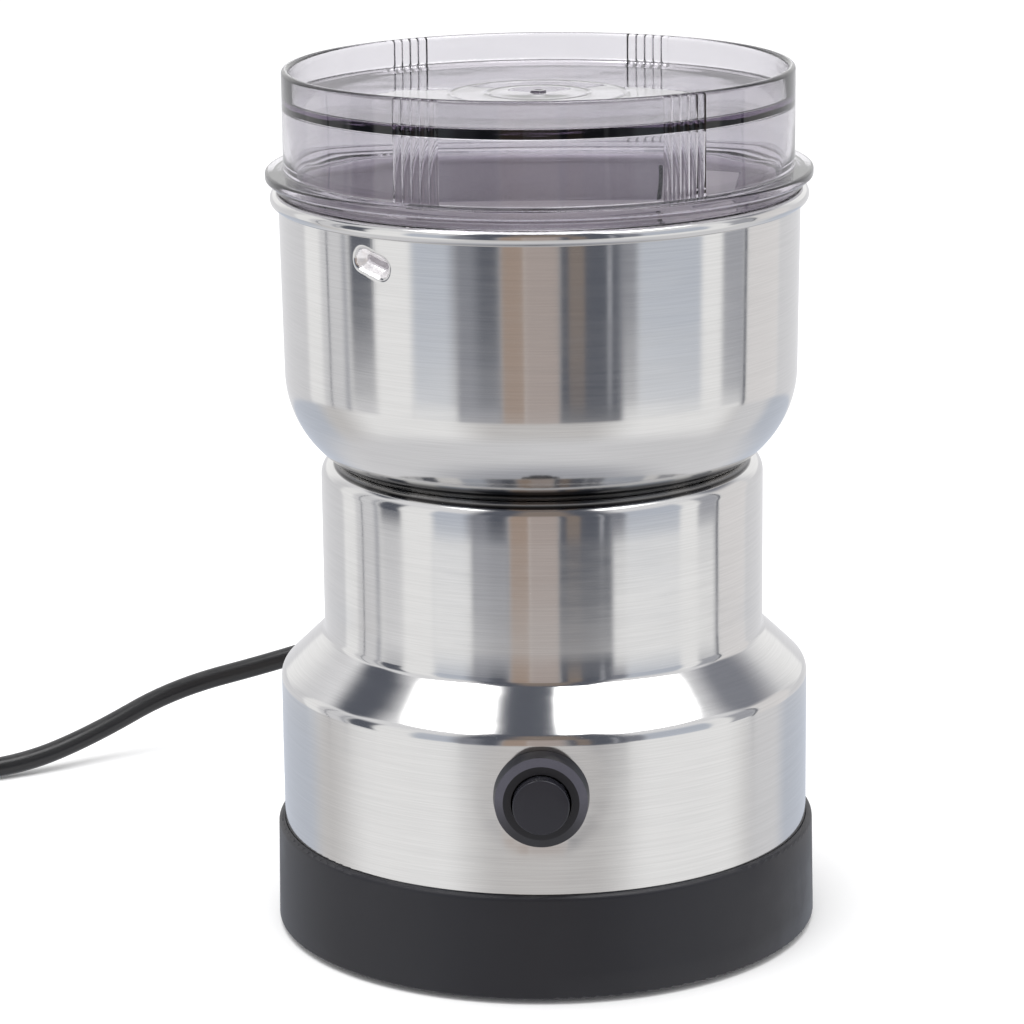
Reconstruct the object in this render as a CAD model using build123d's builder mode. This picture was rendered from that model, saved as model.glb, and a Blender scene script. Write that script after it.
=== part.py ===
"""Electric coffee grinder: polished steel body on a black base, bowl, clear lid, push button and mains lead.

Millimetres, +Z up. The origin is on the table, on the grinder's vertical axis, and the button faces -Y.
"""
import os
from math import atan2, cos, degrees, pi, radians, sin, sqrt, tan

from build123d import *

os.makedirs("parts", exist_ok=True)

# Clearances
RUNNING_GAP = 0.05  # shaft in its bearing, radial
SLIDE_GAP = 0.1  # plunger in its guide, radial
BODY_GAP = 0.3  # between pieces that move apart
FIT_GAP = 0.1  # pieces that are slipped together and stay
SEAT_GAP = 0.02  # curved seats that are clamped or moulded to a wall

# Feet and base
FOOT_PROUD = 1.0
FOOT_R = 5.0
FOOT_RECESS = 1.2
FOOT_INSET = 10.0
BASE_RIM = 1.15
BASE_DRAFT = 0.35
BASE_HEIGHT = 20.1
BASE_FLOOR = 2.2
BASE_WALL = 3.1
BASE_TOP_FILLET = 1.0
VENT_COUNT = 16
VENT_LENGTH = 15.0
VENT_WIDTH = 2.4
VENT_CIRCLE_R = 22.0
COLUMN_R = 4.25
COLUMN_INSET = 6.9
CORNER_COUNT = 4
HEAD_HEIGHT = 1.9
THREAD_LENGTH = 2.0

# Sheet steel body
SHEET = 0.8
BODY_R = 51.4
BODY_BOTTOM = 10.0
SHOULDER_Z = 51.2
SHOULDER_RISE = 8.3
SHOULDER_FILLET = 2.8
NECK_BOTTOM_FILLET = 2.0
NECK_TOP_FILLET = 3.2
NECK_SEAT = 2.9
TAB_WIDTH = 10.0
TAB_REACH = 4.0
SCREW_R = 1.5
PILOT_R = 1.3

# Grinding bowl
BOWL_STEP = 1.7
BOWL_DRAFT = 0.7
BOWL_CORNER_R = 20.3
BOWL_HEIGHT = 53.8
BEAD_R = 1.5
BEAD_OFFSET = 0.1
BOWL_HOLE_R = 6.0
BOWL_SCREW_INSET = 7.0
BOWL_SCREW_HEAD_R = 2.75
BOWL_SCREW_COUNT = 3
BOWL_SCREW_HEAD = 1.7
LUG_AZIMUTH = -37.3
LUG_BELOW_RIM = 6.3
LUG_R = 4.3
LUG_DEPTH = 2.0
LUG_SLOT = (4.8, 1.4)
GASKET = 0.8
GASKET_MARGIN = 1.5
SEAL_LAP = 3.0
SEAL_FLANGE = 1.5

# Lid
SKIRT_ROOM = 1.0
SKIRT_WALL = 1.9
SKIRT_DEPTH = 15.6
LID_STEP = 0.7
LID_WALL = 3.1
LID_HEIGHT = 19.1
LID_RECESS = 5.3
LID_DISC = 1.7
LID_RIM_FILLET = 0.8
FLANGE_REACH = 3.5
FLANGE_THICK = 1.9
FLANGE_LIP = 1.6
FLANGE_LIP_REACH = 1.6
SLOT_SIDE_GAP = 0.7
SLOT_LEG_ANGLE = 16.0
SLOT_LIP = 2.6
FLUTE_GROUPS = (-26.4, 33.6, 153.6, 213.6)
FLUTES_PER_GROUP = 5
FLUTE_PITCH = 2.2
FLUTE_R = 1.15
FLUTE_DEPTH = 0.5
RING_RADII = (10.0, 17.0)
RING_WIDTH = 0.8
RING_HEIGHT = 0.25
GATE_R = 1.5

# Motor
BRACKET_BOTTOM = 25.0
BRACKET_PLATE = 4.0
BRACKET_WIDTH = 15.0
BRACKET_CROSS = 11.0
POST_HEIGHT = 15.5
MOTOR_POST_R = 3.8
MOTOR_SCREW_R = 2.0
MOTOR_SCREW_INSET = 4.0
MOTOR_SCREW_GRIP = 13.5
STACK_HEIGHT = 24.0
STATOR_LENGTH = 62.0
STATOR_WIDTH = 46.0
STATOR_CORNER_R = 9.0
STATOR_BORE_R = 16.0
AIR_GAP = 0.5
ARMATURE_SLOTS = 12
SLOT_WIDTH = 2.2
SLOT_DEPTH = 6.5
WOUND_DEPTH = 4.5
BULGE_INSET = 1.3
BULGE_HEIGHT = 5.0
POLE_SHOE = 1.4
COIL_HALF_WIDTH = 15.4
COIL_PROUD = 6.6
COIL_CORNER_R = 6.0
POLE_HALF_WIDTH = 8.8
COMMUTATOR_R = 9.5
COMMUTATOR_LENGTH = 8.4
COMMUTATOR_BARS = 12
BUSH_R = 6.0
BUSH_HEIGHT = 6.0
BUSH_WALL = 2.5
BRUSH_SIZE = (4.0, 5.2)
BRUSH_SHARE = 0.6
CAPACITOR = (6.0, 12.0, 7.5)
HOLDER_WALL = 1.0
HOLDER_ROOM = 4.4
BEARING_R = 11.0
BEARING_HEIGHT = 7.0
BEARING_WALL = 3.0
BEARING_CAP = 1.0
END_SPACE = 11.0
TOP_DISC = 3.2
TOP_SKIRT = 5.0
TOP_SKIRT_WALL = 2.0
RIB = 1.8
FAN_R = 30.0
FAN_DISC = 1.2
FAN_HEIGHT = 8.0
FAN_VANES = 10
FAN_HUB = 3.5
FUSE_R = 1.6

# Shaft and blade
SHAFT_R = 4.0
JOURNAL_R = 2.5
THREAD_R = 3.0
SHAFT_STUB = 1.7
BLADE_RISE = 8.5
BLADE_THICK = 1.5
BLADE_LENGTH = 34.0
BLADE_WIDTH = 11.0
BLADE_TIP = 13.0
BLADE_TIP_ANGLE = 22.0
NUT_R = 5.6
NUT_HEIGHT = 4.6
NUT_CAP = 0.8
HUB_LOW_R = 10.0
HUB_HIGH_R = 6.5
WASHER = 0.5

# Push button switch, on a horizontal axis at the front
SWITCH_BELOW_SHOULDER = 10.9
BARREL_R = 7.9
BARREL_LENGTH = 12.0
BEZEL_LAP = 1.0
BEZEL_RIM_STEP = 0.3
BEZEL_FACE_STEP = 1.85
BEZEL_RIM = 3.5
BEZEL_HEIGHT = 4.1
WELL_DEPTH = 9.0
CAP_R = 5.25
CAP_GAP = 0.35
CAP_PROUD = 6.6
CAP_SKIRT = 1.5
CAP_WALL = 0.95
CAP_TOP = 1.6
PLUNGER_R = 2.0
PLUNGER_REACH = 3.0
BUTTON_TRAVEL = 2.5
CONTACT = (11.0, 4.0, 0.5)
TERMINAL_X = 4.5
TERMINAL = (0.8, 4.8)
TERMINAL_REACH = 6.0
NUT_AF = 19.0
SWITCH_NUT = (2.2, 3.0)
HOUSING_SIZE = 14.0
HOUSING_BACK = 3.0
SPRING_WIRE = 0.5
SPRING_R = 3.5
SPRING_TURNS = 5

# Mains lead
CORD_D = 4.4
BOOT_Z = 38.7
BOOT_HOLE_R = 4.6
BOOT_COLLAR_R = 6.3
BOOT_TIP_Y = 76.0
BOOT_TIP_R = 3.1
WIRE_R = 0.9
WIRE_INSET = 8.6
INNER_LEAD = 13.0
CORD_POINTS = [
    (0.0, BOOT_TIP_Y, BOOT_Z),
    (0.0, 90.0, BOOT_Z),
    (-7.5, 102.9, 36.4),
    (-20.8, 110.0, 32.6),
    (-39.0, 111.9, 26.2),
    (-62.0, 110.3, 19.2),
    (-85.0, 106.5, 14.1),
    (-102.0, 97.0, 6.4),
    (-116.0, 87.9, 2.6),
    (-131.0, 81.1, 2.3),
    (-147.0, 76.2, 2.3),
    (-161.0, 76.2, 2.3),
]
CORD_SHARE = 0.45
COIL_PITCH = CORD_D + 0.7
COIL_LAYER = CORD_D + 0.5
COIL_START_R = 29.5
COIL_FIRST_LAYER_TURNS = 2.25
COIL_TURNS = 4.25
PLUG_WIDTH = 35.0
PLUG_THICK = 14.2
PLUG_LENGTH = 36.0
PLUG_TAIL = 20.0
PIN_R = 2.0
PIN_LENGTH = 19.0
PIN_SPACING = 18.6

# Places that follow from the sizes above
BASE_BOTTOM = FOOT_PROUD
BASE_TOP = BASE_BOTTOM + BASE_HEIGHT
FLOOR_TOP = BASE_BOTTOM + BASE_FLOOR
BASE_TOP_R = BODY_R + FIT_GAP + BASE_RIM
BASE_R = BASE_TOP_R + BASE_DRAFT
FOOT_CIRCLE_R = BASE_R - FOOT_INSET
COLUMN_CIRCLE_R = BODY_R - COLUMN_INSET
SHELL_INNER_R = BODY_R - SHEET
TAB_INNER_R = COLUMN_CIRCLE_R - TAB_REACH
HEAD_SEAT = FLOOR_TOP + FOOT_RECESS

BRACKET_TOP = BRACKET_BOTTOM + BRACKET_PLATE
BOSS_BOTTOM = BRACKET_BOTTOM - 3.0
BUSH_BOTTOM = BOSS_BOTTOM + 0.5
FAN_TOP = BOSS_BOTTOM - 0.8
JOURNAL_TOP = BRACKET_TOP + 0.9
COMMUTATOR_BOTTOM = JOURNAL_TOP + 0.9
COMMUTATOR_TOP = COMMUTATOR_BOTTOM + COMMUTATOR_LENGTH
BRUSH_Z = COMMUTATOR_BOTTOM + COMMUTATOR_LENGTH / 2 - FIT_GAP * 5
STACK_BOTTOM = BRACKET_TOP + POST_HEIGHT
STACK_TOP = STACK_BOTTOM + STACK_HEIGHT
BEARING_BOTTOM = STACK_TOP + END_SPACE
BEARING_TOP = BEARING_BOTTOM + BEARING_HEIGHT
TOP_DISC_BOTTOM = BEARING_TOP
TOP_DISC_TOP = TOP_DISC_BOTTOM + TOP_DISC
TOP_SKIRT_BOTTOM = TOP_DISC_BOTTOM - TOP_SKIRT
BOWL_BOSS_BOTTOM = TOP_SKIRT_BOTTOM - 1.0
BOWL_BOSS_R = SCREW_R + 2.0
SHAFT_BOTTOM = FAN_TOP - FAN_HEIGHT - SHAFT_STUB
ARMATURE_R = STATOR_BORE_R - AIR_GAP
BULGE_R = ARMATURE_R - BULGE_INSET
MOTOR_SCREW_X = STATOR_LENGTH / 2 - MOTOR_SCREW_INSET
COIL_X = (STATOR_BORE_R + POLE_SHOE, MOTOR_SCREW_X - MOTOR_POST_R - BODY_GAP)

BOWL_R = BODY_R - BOWL_STEP
BOWL_BOTTOM = TOP_DISC_TOP + GASKET
BOWL_FLOOR = BOWL_BOTTOM + SHEET
BOWL_RIM_Z = BOWL_BOTTOM + BOWL_HEIGHT
BOWL_LOW_R = BOWL_R - BOWL_DRAFT
BOWL_TAPER = atan2(BOWL_DRAFT, BOWL_HEIGHT)
BOWL_FLAT_R = BOWL_LOW_R + BOWL_CORNER_R * (tan(BOWL_TAPER) - 1 / cos(BOWL_TAPER))
GASKET_OUTER_R = BOWL_FLAT_R - GASKET_MARGIN
BOWL_SCREW_CIRCLE_R = BOWL_FLAT_R - BOWL_SCREW_INSET
BEAD_CENTRE_R = BOWL_R + BEAD_OFFSET
BEAD_TOP = BOWL_RIM_Z + BEAD_R
LUG_Z = BOWL_RIM_Z - LUG_BELOW_RIM
NECK_TOP = BOWL_BOTTOM + NECK_SEAT
NECK_LIP_R = BOWL_FLAT_R + sqrt(BOWL_CORNER_R**2 - (BOWL_CORNER_R - NECK_SEAT) ** 2) + FIT_GAP
NECK_R = NECK_LIP_R + NECK_TOP_FILLET + FIT_GAP / 2
NECK_BOTTOM = SHOULDER_Z + SHOULDER_RISE
TOP_BRACKET_R = NECK_R - SHEET - FIT_GAP

LIP_BOTTOM = BEAD_TOP + BODY_GAP
FLANGE_BOTTOM = LIP_BOTTOM + FLANGE_LIP
FLANGE_TOP = FLANGE_BOTTOM + FLANGE_THICK
SKIRT_R = BOWL_R - SHEET - SKIRT_ROOM
SKIRT_BOTTOM = LIP_BOTTOM - SKIRT_DEPTH
LID_R = SKIRT_R + LID_STEP
LID_TOP = FLANGE_TOP + LID_HEIGHT
LID_DISC_TOP = LID_TOP - LID_RECESS
FLANGE_LIP_R = LID_R + FLANGE_LIP_REACH
FLANGE_R = LID_R + FLANGE_REACH

BLADE_SEAT = BOWL_BOTTOM + BLADE_RISE
SHAFT_TOP = BLADE_SEAT + BLADE_THICK + NUT_HEIGHT - NUT_CAP

SWITCH_Z = SHOULDER_Z - SWITCH_BELOW_SHOULDER
BEZEL_R = BARREL_R + BEZEL_LAP
BEZEL_RIM_R = BEZEL_R - BEZEL_RIM_STEP
BEZEL_FACE_R = BEZEL_R - BEZEL_FACE_STEP
WELL_R = CAP_R + CAP_GAP
PLUNGER_END = BARREL_LENGTH + PLUNGER_REACH
PAD_DEPTH = PLUNGER_END + CONTACT[2] + BUTTON_TRAVEL + BODY_GAP
CAVITY_LENGTH = PAD_DEPTH + 1.7 - BARREL_LENGTH
HOUSING_LENGTH = CAVITY_LENGTH + HOUSING_BACK
HOLDER_SPAN = (COMMUTATOR_R + 1.0, BODY_R - BARREL_LENGTH - HOUSING_LENGTH - HOLDER_ROOM)
BRUSH_LENGTH = BRUSH_SHARE * (HOLDER_SPAN[1] - HOLDER_SPAN[0])
SWITCH_PLANE = Plane(origin=(0, -BODY_R, SWITCH_Z), x_dir=(1, 0, 0), z_dir=(0, -1, 0))


def finish(part, name):
    """Label a piece and write it to its file."""
    part.label = name
    export_step(part, f"parts/{name}.step")


def upright_plane(angle, height):
    """The plane through the Z axis at an angle from +X, with its own Y upward from that height."""
    way = radians(angle)
    return Plane(origin=(0, 0, height), x_dir=(cos(way), sin(way), 0), z_dir=(sin(way), -cos(way), 0))


def ring_section(points):
    """A closed profile in the XZ plane, from (radius, height) corners."""
    with BuildSketch(Plane.XZ) as profile:
        with BuildLine():
            Polyline(*points, close=True)
        make_face()
    return profile.sketch


def sheet_section(points, radii, side):
    """A bent sheet's section: the outer line with rounded bends, thickened to one side."""
    with BuildSketch(Plane.XZ) as profile:
        with BuildLine():
            FilletPolyline(*points, radius=radii)
            offset(amount=SHEET, side=side, closed=True)
        make_face()
    return profile.sketch


def helix_spring(wire, mean_r, length, turns):
    """An open coil spring along +Z from the origin, with its wire clear of both end planes."""
    with BuildPart() as spring:
        with BuildLine() as path:
            Helix(pitch=(length - 2 * wire) / turns, height=length - 2 * wire, radius=mean_r, center=(0, 0, wire))
        with BuildSketch(Plane(origin=path.line @ 0, z_dir=path.line % 0)):
            RegularPolygon(radius=wire / 2, side_count=6)
        sweep(is_frenet=True)
    return spring.part


# Base cup: moulded floor with vents, feet recesses, screw columns and the rim that holds the body
with BuildPart() as base_cup:
    with BuildSketch(Plane.XZ) as cup_profile:
        with BuildLine():
            Polyline(
                (0, BASE_BOTTOM),
                (BASE_R, BASE_BOTTOM),
                (BASE_TOP_R, BASE_TOP),
                (BODY_R + FIT_GAP, BASE_TOP),
                (BODY_R + FIT_GAP, BODY_BOTTOM),
                (BASE_R - BASE_WALL, BODY_BOTTOM),
                (BASE_R - BASE_WALL, FLOOR_TOP),
                (0, FLOOR_TOP),
                close=True,
            )
        make_face()
        fillet(cup_profile.vertices().group_by(Axis.Y)[-1].sort_by(Axis.X)[-1], radius=BASE_TOP_FILLET)
        fillet(cup_profile.vertices().group_by(Axis.Y)[0].sort_by(Axis.X)[-1], radius=BASE_TOP_FILLET / 2)
    revolve(axis=Axis.Z)
    with BuildSketch(Plane.XY.offset(FLOOR_TOP)):
        with PolarLocations(COLUMN_CIRCLE_R, CORNER_COUNT, start_angle=45):
            Circle(COLUMN_R)
    extrude(amount=BODY_BOTTOM - FLOOR_TOP)
    with BuildSketch(Plane.XY.offset(BASE_BOTTOM)):
        with PolarLocations(COLUMN_CIRCLE_R, CORNER_COUNT, start_angle=45):
            Circle(2 * SCREW_R + FIT_GAP)
    extrude(amount=HEAD_SEAT - BASE_BOTTOM, mode=Mode.SUBTRACT)
    with BuildSketch(Plane.XY.offset(BASE_BOTTOM)):
        with PolarLocations(COLUMN_CIRCLE_R, CORNER_COUNT, start_angle=45):
            Circle(SCREW_R + FIT_GAP)
    extrude(amount=BASE_HEIGHT, mode=Mode.SUBTRACT)
    with BuildSketch(Plane.XY.offset(BASE_BOTTOM)):
        with PolarLocations(FOOT_CIRCLE_R, CORNER_COUNT):
            Circle(FOOT_R + FIT_GAP)
    extrude(amount=FOOT_RECESS, mode=Mode.SUBTRACT)
    with BuildSketch(Plane.XY.offset(BASE_BOTTOM)):
        with PolarLocations(VENT_CIRCLE_R, VENT_COUNT):
            SlotOverall(VENT_LENGTH, VENT_WIDTH)
    extrude(amount=BASE_FLOOR, mode=Mode.SUBTRACT)
finish(base_cup.part, "base_cup")

# Rubber feet, pressed into the floor's recesses
with BuildPart() as rubber_feet:
    with BuildSketch():
        with PolarLocations(FOOT_CIRCLE_R, CORNER_COUNT):
            Circle(FOOT_R)
    extrude(amount=FOOT_PROUD + FOOT_RECESS)
    chamfer(rubber_feet.edges().group_by(Axis.Z)[0], length=FOOT_PROUD / 3)
finish(rubber_feet.part, "rubber_feet")

# Base screws, up through the columns into the body's tabs
with BuildPart() as base_screws:
    with BuildSketch(Plane.XY.offset(HEAD_SEAT)):
        with PolarLocations(COLUMN_CIRCLE_R, CORNER_COUNT, start_angle=45):
            Circle(2 * SCREW_R)
    extrude(amount=-HEAD_HEIGHT)
    with BuildSketch(Plane.XY.offset(HEAD_SEAT)):
        with PolarLocations(COLUMN_CIRCLE_R, CORNER_COUNT, start_angle=45):
            Circle(PILOT_R)
    extrude(amount=BODY_BOTTOM + SHEET + THREAD_LENGTH - HEAD_SEAT)
finish(base_screws.part, "base_screws")

# Body: one drawn sheet from the base to the rolled top of the neck
with BuildPart() as body_shell:
    add(
        sheet_section(
            [
                (NECK_LIP_R, NECK_TOP),
                (NECK_R, NECK_TOP),
                (NECK_R, NECK_BOTTOM),
                (BODY_R, SHOULDER_Z),
                (BODY_R, BODY_BOTTOM),
            ],
            [NECK_TOP_FILLET, NECK_BOTTOM_FILLET, SHOULDER_FILLET],
            Side.RIGHT,
        )
    )
    revolve(axis=Axis.Z)
    tab_length = SHELL_INNER_R + SHEET / 2 - TAB_INNER_R
    with PolarLocations(TAB_INNER_R + tab_length / 2, CORNER_COUNT, start_angle=45):
        with Locations((0, 0, BODY_BOTTOM)):
            Box(tab_length, TAB_WIDTH, SHEET, align=(Align.CENTER, Align.CENTER, Align.MIN))
    with BuildSketch(Plane.XY.offset(BODY_BOTTOM)):
        with PolarLocations(COLUMN_CIRCLE_R, CORNER_COUNT, start_angle=45):
            Circle(PILOT_R)
    extrude(amount=SHEET, mode=Mode.SUBTRACT)
    with BuildSketch(SWITCH_PLANE.offset(2 * SHEET)):
        Circle(BARREL_R + FIT_GAP)
    extrude(amount=-6 * SHEET, mode=Mode.SUBTRACT)
    with BuildSketch(Plane(origin=(0, BODY_R + SHEET, BOOT_Z), z_dir=(0, 1, 0))):
        Circle(BOOT_HOLE_R)
    extrude(amount=-4 * SHEET, mode=Mode.SUBTRACT)
finish(body_shell.part, "body_shell")

# Lid lug: a round dimple pressed into the bowl's wall, lanced through with one slot
lug_sphere_r = (LUG_R**2 + LUG_DEPTH**2) / (2 * LUG_DEPTH)
lug_wall_r = BOWL_LOW_R + (BOWL_R - BOWL_LOW_R) * (LUG_Z - BOWL_BOTTOM) / BOWL_HEIGHT
lug_centre_r = lug_wall_r - LUG_DEPTH + lug_sphere_r

with BuildPart() as lug_bump:
    with Locations((lug_centre_r, 0, LUG_Z)):
        Sphere(lug_sphere_r + SHEET)
    with Locations((0, 0, LUG_Z)):
        Cylinder(radius=lug_wall_r - SHEET / 2, height=4 * LUG_R, mode=Mode.INTERSECT)

# Bowl: pressed cup with a rolled bead round its rim
with BuildPart() as bowl:
    add(
        sheet_section(
            [(BOWL_HOLE_R, BOWL_BOTTOM), (BOWL_LOW_R, BOWL_BOTTOM), (BOWL_R, BOWL_RIM_Z)],
            [BOWL_CORNER_R],
            Side.LEFT,
        )
    )
    with BuildSketch(Plane.XZ):
        with Locations((BEAD_CENTRE_R, BOWL_RIM_Z)):
            Circle(BEAD_R)
    revolve(axis=Axis.Z)
    with PolarLocations(0, 2, start_angle=LUG_AZIMUTH - 90):
        add(lug_bump.part)
        with Locations((lug_centre_r, 0, LUG_Z)):
            Sphere(lug_sphere_r, mode=Mode.SUBTRACT)
        with Locations((lug_wall_r - LUG_DEPTH, 0, LUG_Z)):
            Box(4 * SHEET, *LUG_SLOT, mode=Mode.SUBTRACT)
    with BuildSketch(Plane.XY.offset(BOWL_BOTTOM)):
        with PolarLocations(BOWL_SCREW_CIRCLE_R, BOWL_SCREW_COUNT, start_angle=90):
            Circle(SCREW_R + FIT_GAP)
    extrude(amount=SHEET, mode=Mode.SUBTRACT)
finish(bowl.part, "bowl")

# Gasket between the bowl's floor and the motor's top bracket
with BuildPart() as bowl_gasket:
    with BuildSketch(Plane.XY.offset(TOP_DISC_TOP)):
        Circle(GASKET_OUTER_R)
        Circle(BOWL_HOLE_R + SEAL_LAP, mode=Mode.SUBTRACT)
        with PolarLocations(BOWL_SCREW_CIRCLE_R, BOWL_SCREW_COUNT, start_angle=90):
            Circle(SCREW_R + 2 * FIT_GAP, mode=Mode.SUBTRACT)
    extrude(amount=GASKET)
finish(bowl_gasket.part, "bowl_gasket")

# Bowl screws: pan heads on the bowl's floor, threaded into the bracket's bosses
with BuildPart() as bowl_screws:
    with BuildSketch(Plane.XY.offset(BOWL_FLOOR)):
        with PolarLocations(BOWL_SCREW_CIRCLE_R, BOWL_SCREW_COUNT, start_angle=90):
            Circle(BOWL_SCREW_HEAD_R)
    extrude(amount=BOWL_SCREW_HEAD)
    fillet(bowl_screws.edges().group_by(Axis.Z)[-1], radius=0.4 * BOWL_SCREW_HEAD)
    with BuildSketch(Plane.XY.offset(BOWL_FLOOR)):
        with PolarLocations(BOWL_SCREW_CIRCLE_R, BOWL_SCREW_COUNT, start_angle=90):
            Circle(SCREW_R)
    extrude(amount=BOWL_BOSS_BOTTOM + 1.5 - BOWL_FLOOR)
finish(bowl_screws.part, "bowl_screws")

# Shaft seal: flanged nylon bush through the bowl's floor
with BuildPart() as shaft_seal:
    add(
        ring_section(
            [
                (SHAFT_R + RUNNING_GAP * 2, TOP_DISC_BOTTOM + BODY_GAP),
                (BOWL_HOLE_R - FIT_GAP, TOP_DISC_BOTTOM + BODY_GAP),
                (BOWL_HOLE_R - FIT_GAP, BOWL_FLOOR),
                (BOWL_HOLE_R + SEAL_LAP, BOWL_FLOOR),
                (BOWL_HOLE_R + 0.7 * SEAL_LAP, BOWL_FLOOR + SEAL_FLANGE),
                (SHAFT_R + RUNNING_GAP * 2, BOWL_FLOOR + SEAL_FLANGE),
            ]
        )
    )
    revolve(axis=Axis.Z)
finish(shaft_seal.part, "shaft_seal")

# Motor's top bracket: disc under the bowl, rim under the neck's lip, bearing boss, ribs and legs
lip_under = NECK_TOP - SHEET
bracket_rim_r = NECK_R - NECK_TOP_FILLET - 1.1
with BuildPart() as motor_top_bracket:
    with BuildSketch(Plane.XZ) as bracket_profile:
        with BuildLine():
            Polyline(
                (BOWL_HOLE_R + FIT_GAP, TOP_DISC_BOTTOM),
                (BOWL_HOLE_R + FIT_GAP, TOP_DISC_TOP),
                (bracket_rim_r - 2.2, TOP_DISC_TOP),
                (bracket_rim_r, lip_under - FIT_GAP),
                (TOP_BRACKET_R, lip_under - FIT_GAP),
                (TOP_BRACKET_R, TOP_SKIRT_BOTTOM),
                (TOP_BRACKET_R - TOP_SKIRT_WALL, TOP_SKIRT_BOTTOM),
                (TOP_BRACKET_R - TOP_SKIRT_WALL, TOP_DISC_BOTTOM),
                close=True,
            )
        make_face()
        fillet(
            bracket_profile.vertices().group_by(Axis.Y)[-1].sort_by(Axis.X)[-1],
            radius=NECK_TOP_FILLET - SHEET + FIT_GAP,
        )
    revolve(axis=Axis.Z)
    with BuildSketch(Plane.XY.offset(TOP_DISC_BOTTOM)):
        Circle(BEARING_R + BEARING_WALL)
    extrude(amount=BEARING_BOTTOM - BEARING_CAP - TOP_DISC_BOTTOM)
    with BuildSketch(Plane.XY.offset(TOP_DISC_BOTTOM)):
        with PolarLocations(BOWL_SCREW_CIRCLE_R, BOWL_SCREW_COUNT, start_angle=90):
            Circle(BOWL_BOSS_R)
    extrude(amount=BOWL_BOSS_BOTTOM - TOP_DISC_BOTTOM)
    with BuildSketch(Plane.XY.offset(TOP_SKIRT_BOTTOM)):
        with PolarLocations((BEARING_R + BEARING_WALL + TOP_BRACKET_R - TOP_SKIRT_WALL) / 2, 6, start_angle=30):
            Rectangle(TOP_BRACKET_R - BEARING_R - BEARING_WALL, RIB)
    extrude(amount=TOP_DISC_BOTTOM - TOP_SKIRT_BOTTOM)
    with BuildSketch(Plane.XY.offset(STACK_TOP)):
        with Locations((MOTOR_SCREW_X, 0), (-MOTOR_SCREW_X, 0)):
            Circle(MOTOR_POST_R)
    extrude(amount=TOP_DISC_BOTTOM - STACK_TOP)
    with BuildSketch(Plane.XY.offset(BEARING_BOTTOM - BEARING_CAP)):
        Circle(BEARING_R)
    extrude(amount=BEARING_HEIGHT + BEARING_CAP, mode=Mode.SUBTRACT)
    with BuildSketch(Plane.XY.offset(STACK_TOP)):
        with Locations((MOTOR_SCREW_X, 0), (-MOTOR_SCREW_X, 0)):
            Circle(MOTOR_SCREW_R)
    extrude(amount=MOTOR_SCREW_GRIP + 5 * FIT_GAP, mode=Mode.SUBTRACT)
    with BuildSketch(Plane.XY.offset(TOP_DISC_TOP)):
        with PolarLocations(BOWL_SCREW_CIRCLE_R, BOWL_SCREW_COUNT, start_angle=90):
            Circle(SCREW_R)
    extrude(amount=BOWL_BOSS_BOTTOM + 1.5 - TOP_DISC_TOP, mode=Mode.SUBTRACT)
    with BuildSketch(Plane.XY.offset(TOP_DISC_BOTTOM)):
        Circle(BOWL_HOLE_R + FIT_GAP)
    extrude(amount=TOP_DISC_TOP - TOP_DISC_BOTTOM, mode=Mode.SUBTRACT)
finish(motor_top_bracket.part, "motor_top_bracket")

# Upper ball bearing, shielded, pressed into the top bracket
with BuildPart() as upper_bearing:
    with BuildSketch(Plane.XZ):
        with Locations(((BEARING_R + SHAFT_R + RUNNING_GAP) / 2, BEARING_TOP - BEARING_HEIGHT / 2)):
            Rectangle(BEARING_R - SHAFT_R - RUNNING_GAP, BEARING_HEIGHT)
        for face_z in (BEARING_BOTTOM, BEARING_TOP):
            with Locations((BEARING_R - 3.6, face_z)):
                Rectangle(2.4, 0.8, mode=Mode.SUBTRACT)
    revolve(axis=Axis.Z)
finish(upper_bearing.part, "upper_bearing")

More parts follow.
